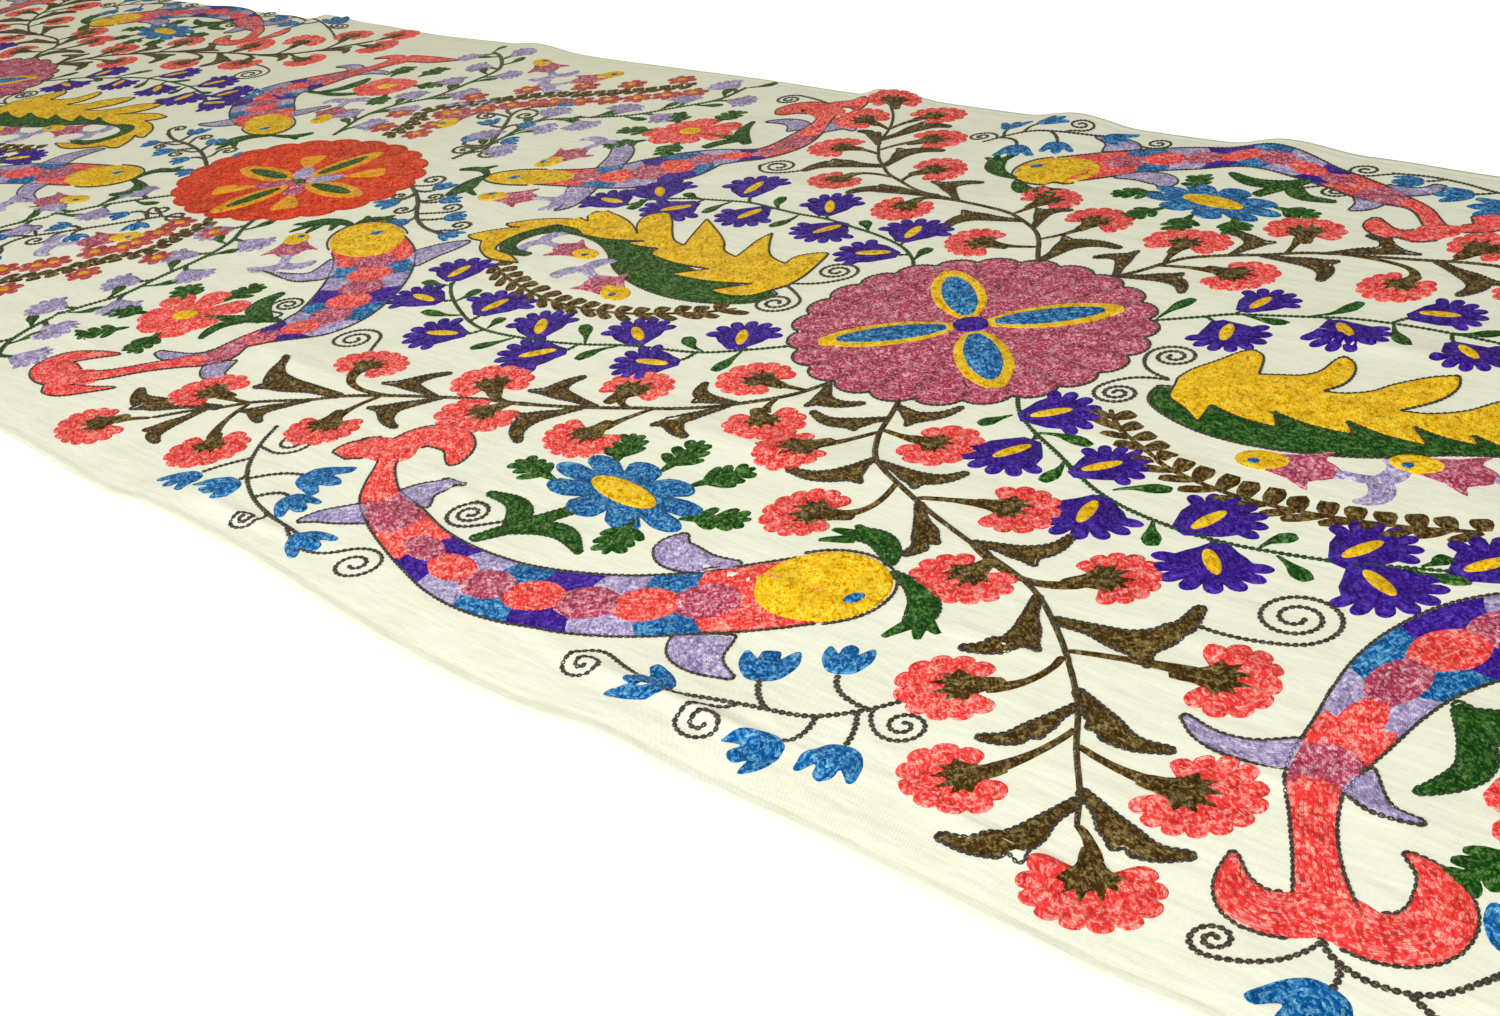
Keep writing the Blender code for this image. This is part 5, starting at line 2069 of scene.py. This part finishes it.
@dataclass(frozen=True)
class PinkCell:
    """Everything that surrounds one mauve medallion, in radii from its centre."""

    x: float

    def work(self, needle: Needlework) -> None:
        """Work the whole cell.

        Args:
            needle: Where the stitches are laid.
        """
        spot = Spot.cell(self.x, PATTERN_AXIS_Y)
        mirrored = Spot(spot.matrix @ np.diag([1.0, -0.93]), spot.origin)
        turned = spot.at(0.02, -0.06, 270.0, 0.965)
        for motif in ROUND_THE_MEDALLION:
            motif.work(needle, spot)
        LEFT_PAISLEY.work(needle, spot.at(0.0, 0.0, 90.0, 1.0, -1.0))
        BlueFlower().work(needle, spot.at(-0.23, -2.36))
        BlueFlower().work(needle, spot.at(0.15, 2.24, 270.0, 0.94))
        for place, fish in ((spot, NEAR_FISH), (turned, FAR_FISH)):
            for motif in (fish, MOUTH_LEAVES, FLOWER_PLANT):
                motif.work(needle, place)
            curl = Spiral(radius=0.13, entry=330.0, hand=-1.0, root=(0.24, 0.10))
            curl.work(needle, place.at(-0.70, -2.89))
        TULIPS_NEAR_RIGHT.work(needle, spot.at(-0.10, -0.12, 270.0, 0.93))
        inner_leaves = MOUTH_LEAVES_LEFT if self.x > 0 else MOUTH_LEAVES_RIGHT
        for motif in (*AT_THE_ENDS, inner_leaves):
            motif.work(needle, spot)
        for flower, place in (
            (Daisy(), (-4.32, -2.19)), (Daisy(), (-4.05, 1.97)),
            (Daisy(), (4.08, -2.26, 90.0, 1.0, -1.0)), (SMALL_DAISY, (4.52, 1.82)),
        ):
            flower.work(needle, spot.at(*place))
        for place in (spot, mirrored):
            curl = Spiral(radius=0.20, turns=2.3, entry=280.0, root=(-0.27, -0.25))
            curl.work(needle, place.at(2.77, -1.68))
        for u, v, radius, turns, entry, hand, *tail in CURLS:
            Spiral(radius, turns, entry, hand, tuple(tail)).work(needle, spot.at(u, v))
        for place in PAISLEY_FISH:
            SmallFish().work(needle, spot.at(*place))


# Round an orange medallion
ORANGE_SPRAYS = (
    SmallSpray(
        stem=((1.00, 0.24), (1.22, 0.12), (1.40, -0.01), (1.62, -0.19), (1.84, -0.30), (2.07, -0.34)),
        tulips=((1.24, 0.34, 100.0), (1.54, 0.16, 60.0), (1.88, -0.06, 50.0), (1.17, -0.10, 250.0),
                (1.60, -0.34, 250.0), (2.14, -0.32, 0.0)),
        curls=((1.05, 0.40, 0.10, 0.0, 1.0), (1.12, 0.05, 0.08, 30.0, -1.0),
               (1.40, -0.14, 0.09, 60.0, -1.0), (1.38, 0.15, 0.08, 300.0, 1.0),
               (1.69, 0.05, 0.10, 290.0, 1.0), (2.05, -0.16, 0.10, 280.0, 1.0)),
    ),
    SmallSpray(
        stem=((-0.86, -0.30), (-1.08, -0.17), (-1.41, -0.01), (-1.72, 0.07), (-2.01, 0.10),
              (-2.24, 0.18)),
        tulips=((-0.99, 0.09, 95.0), (-1.56, 0.23, 110.0), (-2.02, 0.32, 120.0), (-2.10, -0.06, 215.0),
                (-1.76, -0.15, 230.0), (-1.40, -0.21, 240.0), (-1.05, -0.38, 250.0)),
        curls=((-1.22, 0.12, 0.10, 240.0, -1.0), (-1.78, 0.25, 0.09, 240.0, -1.0),
               (-1.58, -0.13, 0.09, 70.0, 1.0), (-1.92, -0.07, 0.08, 70.0, 1.0),
               (-2.26, 0.30, 0.09, 260.0, -1.0)),
    ),
)
ROSE_GARLANDS = (
    ((0.23, -0.92), (0.32, -1.27), (0.36, -1.60), (0.19, -1.90), (0.12, -2.16), (-0.09, -2.40),
     (-0.25, -2.75), (-0.30, -3.10)),
    ((-0.23, 0.93), (-0.34, 1.31), (-0.53, 1.61), (-0.30, 1.90), (0.05, 2.28), (0.45, 2.50),
     (0.78, 2.72), (1.12, 3.02)),
)
LILAC_STEMS = (
    ((0.51, -0.75), (0.62, -0.93), (0.80, -1.16), (0.90, -1.45), (0.95, -1.79), (1.01, -2.08),
     (0.95, -2.38), (0.97, -2.64), (1.10, -2.93), (1.32, -3.12)),
    ((-0.60, -0.75), (-0.80, -0.98), (-0.95, -1.20), (-1.08, -1.50), (-1.20, -1.80), (-1.18, -2.15),
     (-1.08, -2.45), (-1.10, -2.75), (-1.30, -3.05)),
    ((0.77, 0.80), (0.73, 1.31), (0.62, 1.75), (0.95, 2.00), (1.25, 2.20), (1.45, 2.50), (1.62, 2.80),
     (1.60, 3.15)),
    ((-0.72, 0.78), (-0.94, 1.24), (-0.95, 1.60), (-0.83, 1.90), (-0.90, 2.39), (-0.97, 2.72),
     (-1.20, 2.95), (-1.49, 3.10)),
)
# The spray beside a rose garland, as it stands on the far side
GARLAND_SPRAY = SmallSpray(
    stem=((-0.22, 1.08), (-0.45, 1.40), (-0.62, 1.62), (-0.80, 1.88), (-0.72, 2.15)),
    tulips=((-0.57, 1.22, 110.0), (-0.20, 1.30, 40.0), (-0.78, 1.58, 150.0), (-0.42, 1.66, 20.0),
            (-0.98, 1.96, 130.0), (-0.57, 2.22, 60.0)),
    curls=((-0.37, 1.00, 0.10, 200.0, 1.0), (-0.11, 1.02, 0.10, 340.0, -1.0),
           (-0.64, 1.84, 0.10, 60.0, -1.0), (-0.94, 1.70, 0.09, 200.0, 1.0)),
)
ORANGE_CELL_FISH = (
    (1.21, -0.90, 135.0), (-0.07, -1.48, 45.0), (-0.72, 3.02, 150.0), (0.18, 2.96, 60.0),
    (-0.07, 1.44, 300.0), (-1.25, 1.05, 300.0), (1.56, 1.10, 268.0), (1.81, 0.36, 200.0),
    (-1.30, -1.20, 30.0),
)


@dataclass(frozen=True)
class OrangeCell:
    """Everything that surrounds one orange medallion, in radii from its centre."""

    x: float
    axis_drop: float = 0.11

    def work(self, needle: Needlework) -> None:
        """Work the whole cell.

        Args:
            needle: Where the stitches are laid.
        """
        spot = Spot.cell(self.x, PATTERN_AXIS_Y - self.axis_drop * MEDALLION_RADIUS)
        OrangeMedallion().work(needle, spot.at(0.09, -0.10))
        for spray in ORANGE_SPRAYS:
            spray.work(needle, spot)
        for stem in ROSE_GARLANDS:
            garland = Feather(stem, gap=0.11, leaf=0.140, girth=0.042, blooms=True)
            garland.work(needle, spot)
        for stem in LILAC_STEMS:
            self.lilac_vine(stem).work(needle, spot)
        self.garland_spray(-1.0).work(needle, spot)
        self.garland_spray(1.0).work(needle, spot.at(1.05, 0.0))
        for place in ORANGE_CELL_FISH:
            SmallFish().work(needle, spot.at(*place))

    def garland_spray(self, side: float) -> SmallSpray:
        """Draw the spray beside a garland.

        Args:
            side: 1 for the far side, -1 for the near one.

        Returns:
            The spray.
        """
        return SmallSpray(
            tuple((u, v * side) for u, v in GARLAND_SPRAY.stem),
            tuple((u, v * side, facing * side) for u, v, facing in GARLAND_SPRAY.tulips),
            tuple((u, v * side, *shape) for u, v, *shape in GARLAND_SPRAY.curls),
        )

    def lilac_vine(self, stem: tuple) -> Vine:
        """A vine of lilac blooms that stand to either side of it in turn.

        Args:
            stem: The stem's points.

        Returns:
            The vine.
        """
        path = evenly(smooth_path(stem, 8), 0.27)
        side = side_normals(path)
        blooms, clubs = [], []
        for number, (point, normal) in enumerate(zip(path[1:], side[1:])):
            hand = 1 if number % 2 else -1
            way = normal * hand
            facing = math.degrees(math.atan2(way[1], way[0]))
            blooms.append((*(point + way * 0.19), facing - 25 * hand))
            onward = np.array([normal[1], -normal[0]]) * math.copysign(0.20, point[1])
            clubs.append((tuple(point), tuple(point - way * 0.17 + onward)))
        bloom = IrisBloom(Thread.LILAC, Thread.LILAC)
        return IrisVine(stem, tuple(blooms), clubs=tuple(clubs), bloom=bloom, size=0.70, girth=2.6)



class Node:
    """A shader value, on which arithmetic adds the maths nodes."""

    def __init__(self, shader: "Shader", socket: bpy.types.NodeSocket) -> None:
        """Wrap a socket.

        Args:
            shader: The shader that it belongs to.
            socket: The output socket.
        """
        self.shader = shader
        self.socket = socket

    def math(self, operation: str, *others: "Node | float", swap: bool = False) -> "Node":
        """Add a maths node that starts from this value.

        Args:
            operation: The node's operation.
            others: The further values.
            swap: Whether this value comes second.

        Returns:
            The result.
        """
        values = (*others, self) if swap else (self, *others)
        return self.shader.node("ShaderNodeMath", {"operation": operation}, dict(enumerate(values)))

    def __add__(self, other: "Node | float") -> "Node":
        """This value plus another."""
        return self.math("ADD", other)

    __radd__ = __add__

    def __sub__(self, other: "Node | float") -> "Node":
        """This value less another."""
        return self.math("SUBTRACT", other)

    def __rsub__(self, other: float) -> "Node":
        """Another value less this one."""
        return self.math("SUBTRACT", other, swap=True)

    def __mul__(self, other: "Node | float") -> "Node":
        """This value times another."""
        return self.math("MULTIPLY", other)

    __rmul__ = __mul__

    def __truediv__(self, other: "Node | float") -> "Node":
        """This value divided by another."""
        return self.math("DIVIDE", other)

    def floor(self) -> "Node":
        """The whole number below."""
        return self.math("FLOOR")

    def part(self) -> "Node":
        """What is left after the whole number."""
        return self.math("FRACT")

    def size(self) -> "Node":
        """The value without its sign."""
        return self.math("ABSOLUTE")

    def clipped(self) -> "Node":
        """The value held between 0 and 1."""
        return self.shader.node("ShaderNodeClamp", {}, {"Value": self})

    def step(self, low: float, high: float, start: float = 0.0, end: float = 1.0) -> "Node":
        """A smooth step between two values.

        Args:
            low: Where the step starts.
            high: Where it ends.
            start: The result below it.
            end: The result above it.

        Returns:
            The stepped value.
        """
        return self.shader.node(
            "ShaderNodeMapRange", {"interpolation_type": "SMOOTHSTEP"},
            {"Value": self, "From Min": low, "From Max": high, "To Min": start, "To Max": end},
        )


class Shader:
    """A material under construction."""

    def __init__(self, name: str) -> None:
        """Start a material with one Principled shader.

        Args:
            name: The material's name.
        """
        self.material = bpy.data.materials.new(name)
        self.material.use_nodes = True
        self.tree = self.material.node_tree
        self.surface = self.tree.nodes["Principled BSDF"]

    def node(self, kind: str, settings: dict, inputs: dict, output: int | str = 0) -> Node:
        """Add a node.

        Args:
            kind: Its type.
            settings: Its settings, such as the operation.
            inputs: Values or links of its sockets by name or number.
            output: The output wanted.

        Returns:
            That output.
        """
        node = self.tree.nodes.new(kind)
        for name, value in settings.items():
            setattr(node, name, value)
        for name, value in inputs.items():
            self.put(node.inputs[name], value)
        return Node(self, node.outputs[output])

    def put(self, socket: bpy.types.NodeSocket, value: object) -> None:
        """Link or set a socket.

        Args:
            socket: The input socket.
            value: A Node, a number or a tuple.
        """
        if isinstance(value, Node):
            self.tree.links.new(value.socket, socket)
        else:
            socket.default_value = value

    def mix(self, factor: "Node | float", first: object, second: object) -> Node:
        """Mix two colours.

        Args:
            factor: Share of the second.
            first: The first colour.
            second: The second colour.

        Returns:
            The mixed colour.
        """
        node = self.tree.nodes.new("ShaderNodeMix")
        node.data_type = "RGBA"
        self.put(node.inputs[0], factor)
        for socket, colour in ((node.inputs[6], first), (node.inputs[7], second)):
            self.put(socket, colour if isinstance(colour, Node) else (*colour, 1.0))
        return Node(self, node.outputs[2])

    def noise(self, where: Node, scale: float, detail: float = 2.0, roughness: float = 0.5) -> Node:
        """Add a noise pattern.

        Args:
            where: Its coordinates.
            scale: Its fineness in 1/m.
            detail: Its octaves.
            roughness: Strength of the finer octaves.

        Returns:
            The noise value.
        """
        return self.node("ShaderNodeTexNoise", {}, {
            "Vector": where, "Scale": scale, "Detail": detail, "Roughness": roughness,
        })

    def stretched(self, where: Node, scale: tuple, detail: float, roughness: float = 0.5) -> Node:
        """Add a noise pattern that is finer along one axis than along another.

        Args:
            where: Its coordinates.
            scale: Its fineness along each axis in 1/m.
            detail: Its octaves.
            roughness: Strength of the finer octaves.

        Returns:
            The noise value.
        """
        spread = self.node("ShaderNodeMapping", {}, {"Vector": where, "Scale": scale})
        return self.noise(spread, 1.0, detail, roughness)

    def split(self, where: Node) -> tuple:
        """The first two of some coordinates, each a Node."""
        outputs = self.node("ShaderNodeSeparateXYZ", {}, {"Vector": where}).socket.node.outputs
        return Node(self, outputs[0]), Node(self, outputs[1])

    def attribute(self, name: str) -> Node:
        """A number that the mesh carries at its points."""
        return self.node("ShaderNodeAttribute", {"attribute_name": name}, {}, "Fac")

    def toned(self, colour: Node, tone: Node) -> Node:
        """A colour made lighter or darker."""
        return self.node("ShaderNodeVectorMath", {"operation": "SCALE"}, {0: colour, "Scale": tone})

    def finish(self, colour: object, roughness: object, height: Node | None = None,
               depth: float = 0.0, strength: float = 1.0) -> bpy.types.Material:
        """Connect the surface.

        Args:
            colour: Base colour.
            roughness: Roughness.
            height: Height for the bump, or None.
            depth: Depth of the bump in metres.
            strength: Strength of the bump.

        Returns:
            The material.
        """
        self.put(self.surface.inputs["Base Color"], colour)
        self.put(self.surface.inputs["Roughness"], roughness)
        if height is not None:
            sockets = {"Strength": strength, "Distance": depth, "Height": height}
            self.put(self.surface.inputs["Normal"], self.node("ShaderNodeBump", {}, sockets))
        return self.material


@dataclass(frozen=True)
class ThreadFinish:
    """Glossy twisted thread in chain stitch: rows of loops, with painted glints on flecks and loops and
    painted shade in the gaps between them.
    """

    thread: Thread
    lay: Lay
    # Share of the colour in the darker tint: painted shade in the gaps between stitches and in the
    # twist's grooves
    dark: float = 0.5
    worn: float = 0.55
    # Share of the colour in the lighter tint, which the loops' crests are painted toward as painted
    # light
    light: float = 1.3
    fleck_scale: float = 560.0
    patch_scale: float = 250.0
    cloud_scale: float = 55.0
    grain_scale: float = 900.0
    wobble_scale: float = 90.0
    wobble_reach: float = 0.0012
    row_shift: float = 0.37
    slant: float = 136.0
    slant_stretch: float = 1.7
    roughness: float = 0.45
    gloss: float = 0.06
    bump_depth: float = 0.0005
    link_bump_depth: float = 0.0002
    bump_strength: float = 0.6

    def material(self) -> bpy.types.Material:
        """Build the material of a fill or of chain links.

        Returns:
            The material.
        """
        shader = Shader(f"{self.thread.name.lower()}_{self.lay.value}")
        coords = shader.node("ShaderNodeUVMap", {"uv_map": "stitches"}, {})
        where = shader.node("ShaderNodeTexCoord", {}, {}, "Object")
        make = self.link_material if self.lay is Lay.LINKS else self.fill_material
        return make(shader, coords, where)

    def tinted(self, share: float) -> tuple:
        """The thread's colour, darker or lighter."""
        return tuple(min(1.0, share * value) for value in self.thread.colour)

    def stitches(self, shader: Shader, coords: Node, where: Node) -> tuple:
        """Lay out the stitches of a fill, in rows or in rings.

        Args:
            shader: The material under construction.
            coords: The fill's stitch coordinates.
            where: Places on the cloth.

        Returns:
            The number of the row, the place across it and the place along it, in stitches.
        """
        x, y = shader.split(coords)
        wobble = shader.noise(where, self.wobble_scale, 1.0) - 0.5
        rings = self.lay is Lay.RINGS
        depth = ((x * x + y * y).math("SQRT") if rings else y) + wobble * self.wobble_reach
        row = (depth / FILL_ROW_WIDTH).floor()
        across = (depth / FILL_ROW_WIDTH).part() - 0.5
        if rings:
            along = y.math("ARCTAN2", x) * (row + 0.5) * (FILL_ROW_WIDTH / FILL_STITCH_LENGTH)
        else:
            along = x / FILL_STITCH_LENGTH
        return row, across, along + row * self.row_shift + wobble * 0.5

    def fill_material(self, shader: Shader, coords: Node, where: Node) -> bpy.types.Material:
        """Build the material of a fill.

        Args:
            shader: The material under construction.
            coords: The fill's stitch coordinates.
            where: Places on the cloth.

        Returns:
            The material.
        """
        row, across, along = self.stitches(shader, coords, where)
        place = along.part() - 0.5
        arm = (across.size() - 0.27 * (1.0 - 4.0 * place * place)) / 0.24
        loop = (1.0 - arm * arm).clipped()
        spot = shader.node("ShaderNodeCombineXYZ", {}, {
            "X": row, "Y": along.floor(), "Z": float(len(self.thread.name)),
        })
        chance = shader.node("ShaderNodeTexWhiteNoise", {"noise_dimensions": "3D"}, {"Vector": spot})
        slanted = shader.node("ShaderNodeMapping", {"vector_type": "TEXTURE"}, {
            "Vector": where, "Rotation": (0.0, 0.0, math.radians(self.slant)),
            "Scale": (self.slant_stretch, 1.0, 1.0),
        })
        fleck = shader.noise(slanted, self.fleck_scale, 1.0)
        patchy = shader.noise(slanted, self.patch_scale, 1.0)
        # Painted glints: a share of the loops and flecks, most on the loops' crests, is painted in the
        # glints' colour as highlights
        glint_paint = 0.5 * chance.step(0.66, 0.96) + 0.55 * fleck.step(0.55, 0.64)
        glint_paint = (glint_paint + 0.4 * patchy.step(0.57, 0.68)) * (0.4 + 0.6 * loop)
        # Painted shade: dark specks stand for the shade in the gaps between stitches
        gap = (0.55 * fleck.step(0.46, 0.37) + 0.6 * patchy.step(0.46, 0.35)).clipped()
        cloudy = shader.noise(where, self.cloud_scale)
        # Painted light and shade: the loops' crests are painted toward the lighter tint and the gaps
        # toward the darker one; chance adds a random tone
        shade = (0.7 + 0.35 * loop + 0.25 * chance - gap).clipped()
        base = shader.mix(shade, self.tinted(self.dark), self.tinted(self.light))
        lit = shader.mix(glint_paint.clipped(), base, self.thread.glint)
        clouded = shader.mix(0.35 * cloudy.step(0.62, 0.35), lit, self.tinted(self.worn))
        colour = shader.toned(clouded, shader.attribute("tone"))
        shader.surface.inputs["Specular IOR Level"].default_value = self.gloss
        roughness = (self.roughness + 0.25 * gap - 0.12 * glint_paint).clipped()
        return shader.finish(colour, roughness, loop + 0.8 * fleck, self.bump_depth, self.bump_strength)

    def link_material(self, shader: Shader, coords: Node, where: Node) -> bpy.types.Material:
        """Build the material of separate chain links.

        Args:
            shader: The material under construction.
            coords: The link's own coordinates.
            where: Places on the cloth.

        Returns:
            The material.
        """
        bands = {"wave_type": "BANDS", "bands_direction": "DIAGONAL"}
        twist = shader.node("ShaderNodeTexWave", bands, {
            "Vector": coords, "Scale": 5.0, "Distortion": 1.2, "Detail": 1.0,
        }, "Fac")
        grain_and_glint = shader.noise(where, self.grain_scale)
        # Painted shade: the twist's grooves are painted in the darker tint
        base = shader.mix(twist.step(0.15, 0.75), self.tinted(self.dark), self.thread.colour)
        # Painted glints: specks of the fine noise are painted in the glints' colour, as highlights; the
        # same noise makes the bump
        lit = shader.mix(0.6 * grain_and_glint.step(0.54, 0.68), base, self.thread.glint)
        colour = shader.toned(lit, shader.attribute("tone"))
        return shader.finish(
            colour, self.roughness, twist + grain_and_glint, self.link_bump_depth, self.bump_strength,
        )


@dataclass(frozen=True)
class CottonFinish:
    """Plain woven cream cotton, matte, with slubs, small creases and a stitched hem."""

    light: tuple = srgb(241, 240, 220)
    shade: tuple = srgb(232, 231, 208)
    hem_thread: tuple = srgb(212, 210, 184)
    thread_pitch: float = 0.0009
    slub_scale: tuple = (40.0, 900.0)
    crumple_scale: float = 22.0
    wrinkle_scale: tuple = (9.0, 34.0)
    bump_depth: float = 0.0018
    bump_strength: float = 0.8
    sheen: float = 0.1
    gloss: float = 0.25

    def material(self) -> bpy.types.Material:
        """Build the material of plain woven cotton.

        Returns:
            The material.
        """
        shader = Shader("cream_cotton")
        coords = shader.node("ShaderNodeUVMap", {"uv_map": "weave"}, {})
        x, y = shader.split(coords)
        turn = 2 * math.pi / self.thread_pitch
        weave = (x * turn).math("SINE") * (y * turn).math("SINE")
        coarse, fine = self.slub_scale
        slub_along = shader.stretched(coords, (coarse, fine, 1.0), 2.0)
        slub_across = shader.stretched(coords, (fine, coarse, 1.0), 2.0)
        crumple = shader.noise(coords, self.crumple_scale, 4.0, 0.55)
        wrinkle = shader.stretched(coords, (*self.wrinkle_scale, 1.0), 3.0, 0.6)
        tint = (0.3 * slub_along + 0.3 * slub_across + 0.5 * crumple + 0.05 * weave).clipped()
        colour = shader.mix(tint.step(0.35, 0.62), self.shade, self.light)
        edge = shader.attribute("hem")
        stitched = shader.mix(0.25 * edge, colour, self.hem_thread)
        height = 0.08 * weave + 0.12 * slub_along + 0.12 * slub_across + crumple
        height = height + 2.6 * wrinkle - 0.5 * edge
        shader.surface.inputs["Sheen Weight"].default_value = self.sheen
        shader.surface.inputs["Specular IOR Level"].default_value = self.gloss
        roughness = (0.86 + 0.1 * crumple).clipped()
        return shader.finish(stitched, roughness, height, self.bump_depth, self.bump_strength)


@dataclass(frozen=True)
class CottonSheet:
    """The strip's own sheet, as it lies.

    Its rows of cells are closer at the long edges, where the ripples are.
    """

    cloth: Cloth
    cells_long: int = 340
    cells_across: int = 150
    closer_at_edges: float = 0.045
    hem_half_width: float = 0.004

    def build(self) -> bpy.types.Object:
        """Make the sheet with its hem and dress it.

        Returns:
            The sheet.
        """
        cloth = self.cloth
        grid = bmesh.new()
        bmesh.ops.create_grid(
            grid, x_segments=self.cells_long, y_segments=self.cells_across, size=0.5,
        )
        flat = np.array([vert.co[:2] for vert in grid.verts]) + 0.5
        share = flat[:, 1] - self.closer_at_edges * np.sin(2 * math.pi * flat[:, 1])
        y = (share - 0.5) * cloth.width
        x = cloth.left_end(y) + (cloth.right_end(y) - cloth.left_end(y)) * flat[:, 0]
        near, far = cloth.near_edge(x), cloth.far_edge(x)
        y = near + (far - near) * share
        x = cloth.left_end(y) + (cloth.right_end(y) - cloth.left_end(y)) * flat[:, 0]
        z = cloth.face(x, y)
        for vert, place in zip(grid.verts, zip(x, y, z)):
            vert.co = place
        grid.normal_update()
        mesh = bpy.data.meshes.new("cloth_sheet")
        grid.to_mesh(mesh)
        grid.free()
        seam = hump((cloth.inset(x, y) - cloth.hem_width) / self.hem_half_width)
        hem = mesh.attributes.new("hem", "FLOAT", "POINT")
        hem.data.foreach_set("value", seam.astype(np.float32))
        layer = mesh.uv_layers.new(name="weave")
        corners = np.zeros(len(mesh.loops), np.int32)
        mesh.loops.foreach_get("vertex_index", corners)
        layer.uv.foreach_set("vector", np.stack([x, y], axis=1)[corners].astype(np.float32).ravel())
        mesh.shade_smooth()
        sheet = bpy.data.objects.new("cloth_sheet", mesh)
        bpy.context.scene.collection.objects.link(sheet)
        wall = sheet.modifiers.new("thickness", "SOLIDIFY")
        wall.thickness = COTTON_THICKNESS
        wall.offset = -1.0
        wall.use_rim_only = True
        mesh.materials.append(CottonFinish().material())
        return sheet


@dataclass(frozen=True)
class Studio:
    """The pale floor, the soft lights and the camera, which stands where the photographer did."""

    camera_place: tuple = (1.6707, -0.9942, 0.5453)
    yaw: float = -45.930
    pitch: float = 27.984
    roll: float = -6.665
    lens: float = 42.96
    sensor: float = 36.0
    floor_half_size: float = 20.0
    floor_glow: float = 0.5
    # Name, place, target, size, watts and colour
    lamps: tuple = (
        ("key", (1.35, -2.05, 1.65), (0.95, -0.35, 0.0), 1.8, 73.0, (0.955, 0.97, 1.0)),
        ("back", (-1.9, 2.0, 1.3), (-0.4, 0.2, 0.0), 0.9, 11.0, (1.0, 0.92, 0.55)),
    )
    sky_colour: tuple = (1.0, 1.0, 0.86, 1.0)
    sky_strength: float = 0.42

    def camera(self) -> None:
        """Set the camera where the photograph was taken from."""
        yaw, pitch, roll = (math.radians(angle) for angle in (self.yaw, self.pitch, self.roll))
        level = math.cos(pitch)
        forward = np.array([math.sin(yaw) * level, math.cos(yaw) * level, -math.sin(pitch)])
        right = np.array([math.cos(yaw), -math.sin(yaw), 0.0])
        up = np.cross(right, forward)
        across = math.cos(roll) * right + math.sin(roll) * up
        upward = -math.sin(roll) * right + math.cos(roll) * up
        matrix = Matrix.Identity(4)
        for column, vector in enumerate((across, upward, -forward, self.camera_place)):
            for row in range(3):
                matrix[row][column] = float(vector[row])
        data = bpy.data.cameras.new("camera")
        data.lens = self.lens
        data.sensor_width = self.sensor
        data.clip_start = 0.01
        camera = bpy.data.objects.new("camera", data)
        camera.matrix_world = matrix
        bpy.context.scene.collection.objects.link(camera)
        bpy.context.scene.camera = camera

    def floor(self) -> bpy.types.Object:
        """Make the plain pale floor.

        Returns:
            The floor.
        """
        plane = bmesh.new()
        bmesh.ops.create_grid(plane, x_segments=1, y_segments=1, size=self.floor_half_size)
        mesh = bpy.data.meshes.new("floor")
        plane.to_mesh(mesh)
        plane.free()
        floor = bpy.data.objects.new("floor", mesh)
        bpy.context.scene.collection.objects.link(floor)
        shader = Shader("pale_floor")
        where = shader.node("ShaderNodeTexCoord", {}, {}, "Object")
        colour = shader.mix(shader.noise(where, 1.5), (0.93, 0.93, 0.93), (0.96, 0.96, 0.96))
        shader.surface.inputs["Emission Color"].default_value = (1.0, 1.0, 1.0, 1.0)
        shader.surface.inputs["Emission Strength"].default_value = self.floor_glow
        mesh.materials.append(shader.finish(colour, 0.9))
        return floor

    def lights(self) -> None:
        """Set a soft key over the near end, a dim warm light behind and a pale sky."""
        for name, place, target, size, power, colour in self.lamps:
            data = bpy.data.lights.new(name, "AREA")
            data.size = size
            data.energy = power
            data.color = colour
            light = bpy.data.objects.new(name, data)
            light.location = place
            aim = Vector(np.array(target) - np.array(place))
            light.rotation_euler = aim.to_track_quat("-Z", "Y").to_euler()
            bpy.context.scene.collection.objects.link(light)
        world = bpy.data.worlds.new("sky")
        world.use_nodes = True
        sky = world.node_tree.nodes["Background"]
        sky.inputs["Color"].default_value = self.sky_colour
        sky.inputs["Strength"].default_value = self.sky_strength
        bpy.context.scene.world = world
        bpy.context.scene.view_settings.view_transform = "Standard"


def main() -> None:
    """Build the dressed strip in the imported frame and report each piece."""
    logging.basicConfig(level=logging.INFO, format="%(name)s: %(message)s")
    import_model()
    studio = Studio()
    studio.camera()
    studio.lights()
    floor = studio.floor()
    cloth = Cloth()
    sheet = CottonSheet(cloth).build()
    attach(sheet, "root")
    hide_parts("cloth")
    LOG.info("cotton sheet made")
    needle = Needlework(cloth)
    for section, cell in (
        ("right", PinkCell(PINK_MEDALLION_X)), ("left", PinkCell(-PINK_MEDALLION_X)),
        ("middle", OrangeCell(0.0)),
    ):
        needle.section = section
        cell.work(needle)
        LOG.info("%s cell worked", section)
    total = 0
    for (thread, lay, section), bundle in needle.bundles.items():
        name = "_".join(word for word in (thread.name.lower(), lay.value, section) if word)
        piece = needle.mesh(name, bundle)
        piece.data.materials.append(ThreadFinish(thread, lay).material())
        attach(piece, "root")
        triangles = sum(len(polygon.vertices) - 2 for polygon in piece.data.polygons)
        total += triangles
        LOG.info("%s: %d triangles", piece.name, triangles)
    LOG.info("stitching in all: %d triangles", total)


if __name__ == "__main__":
    main()
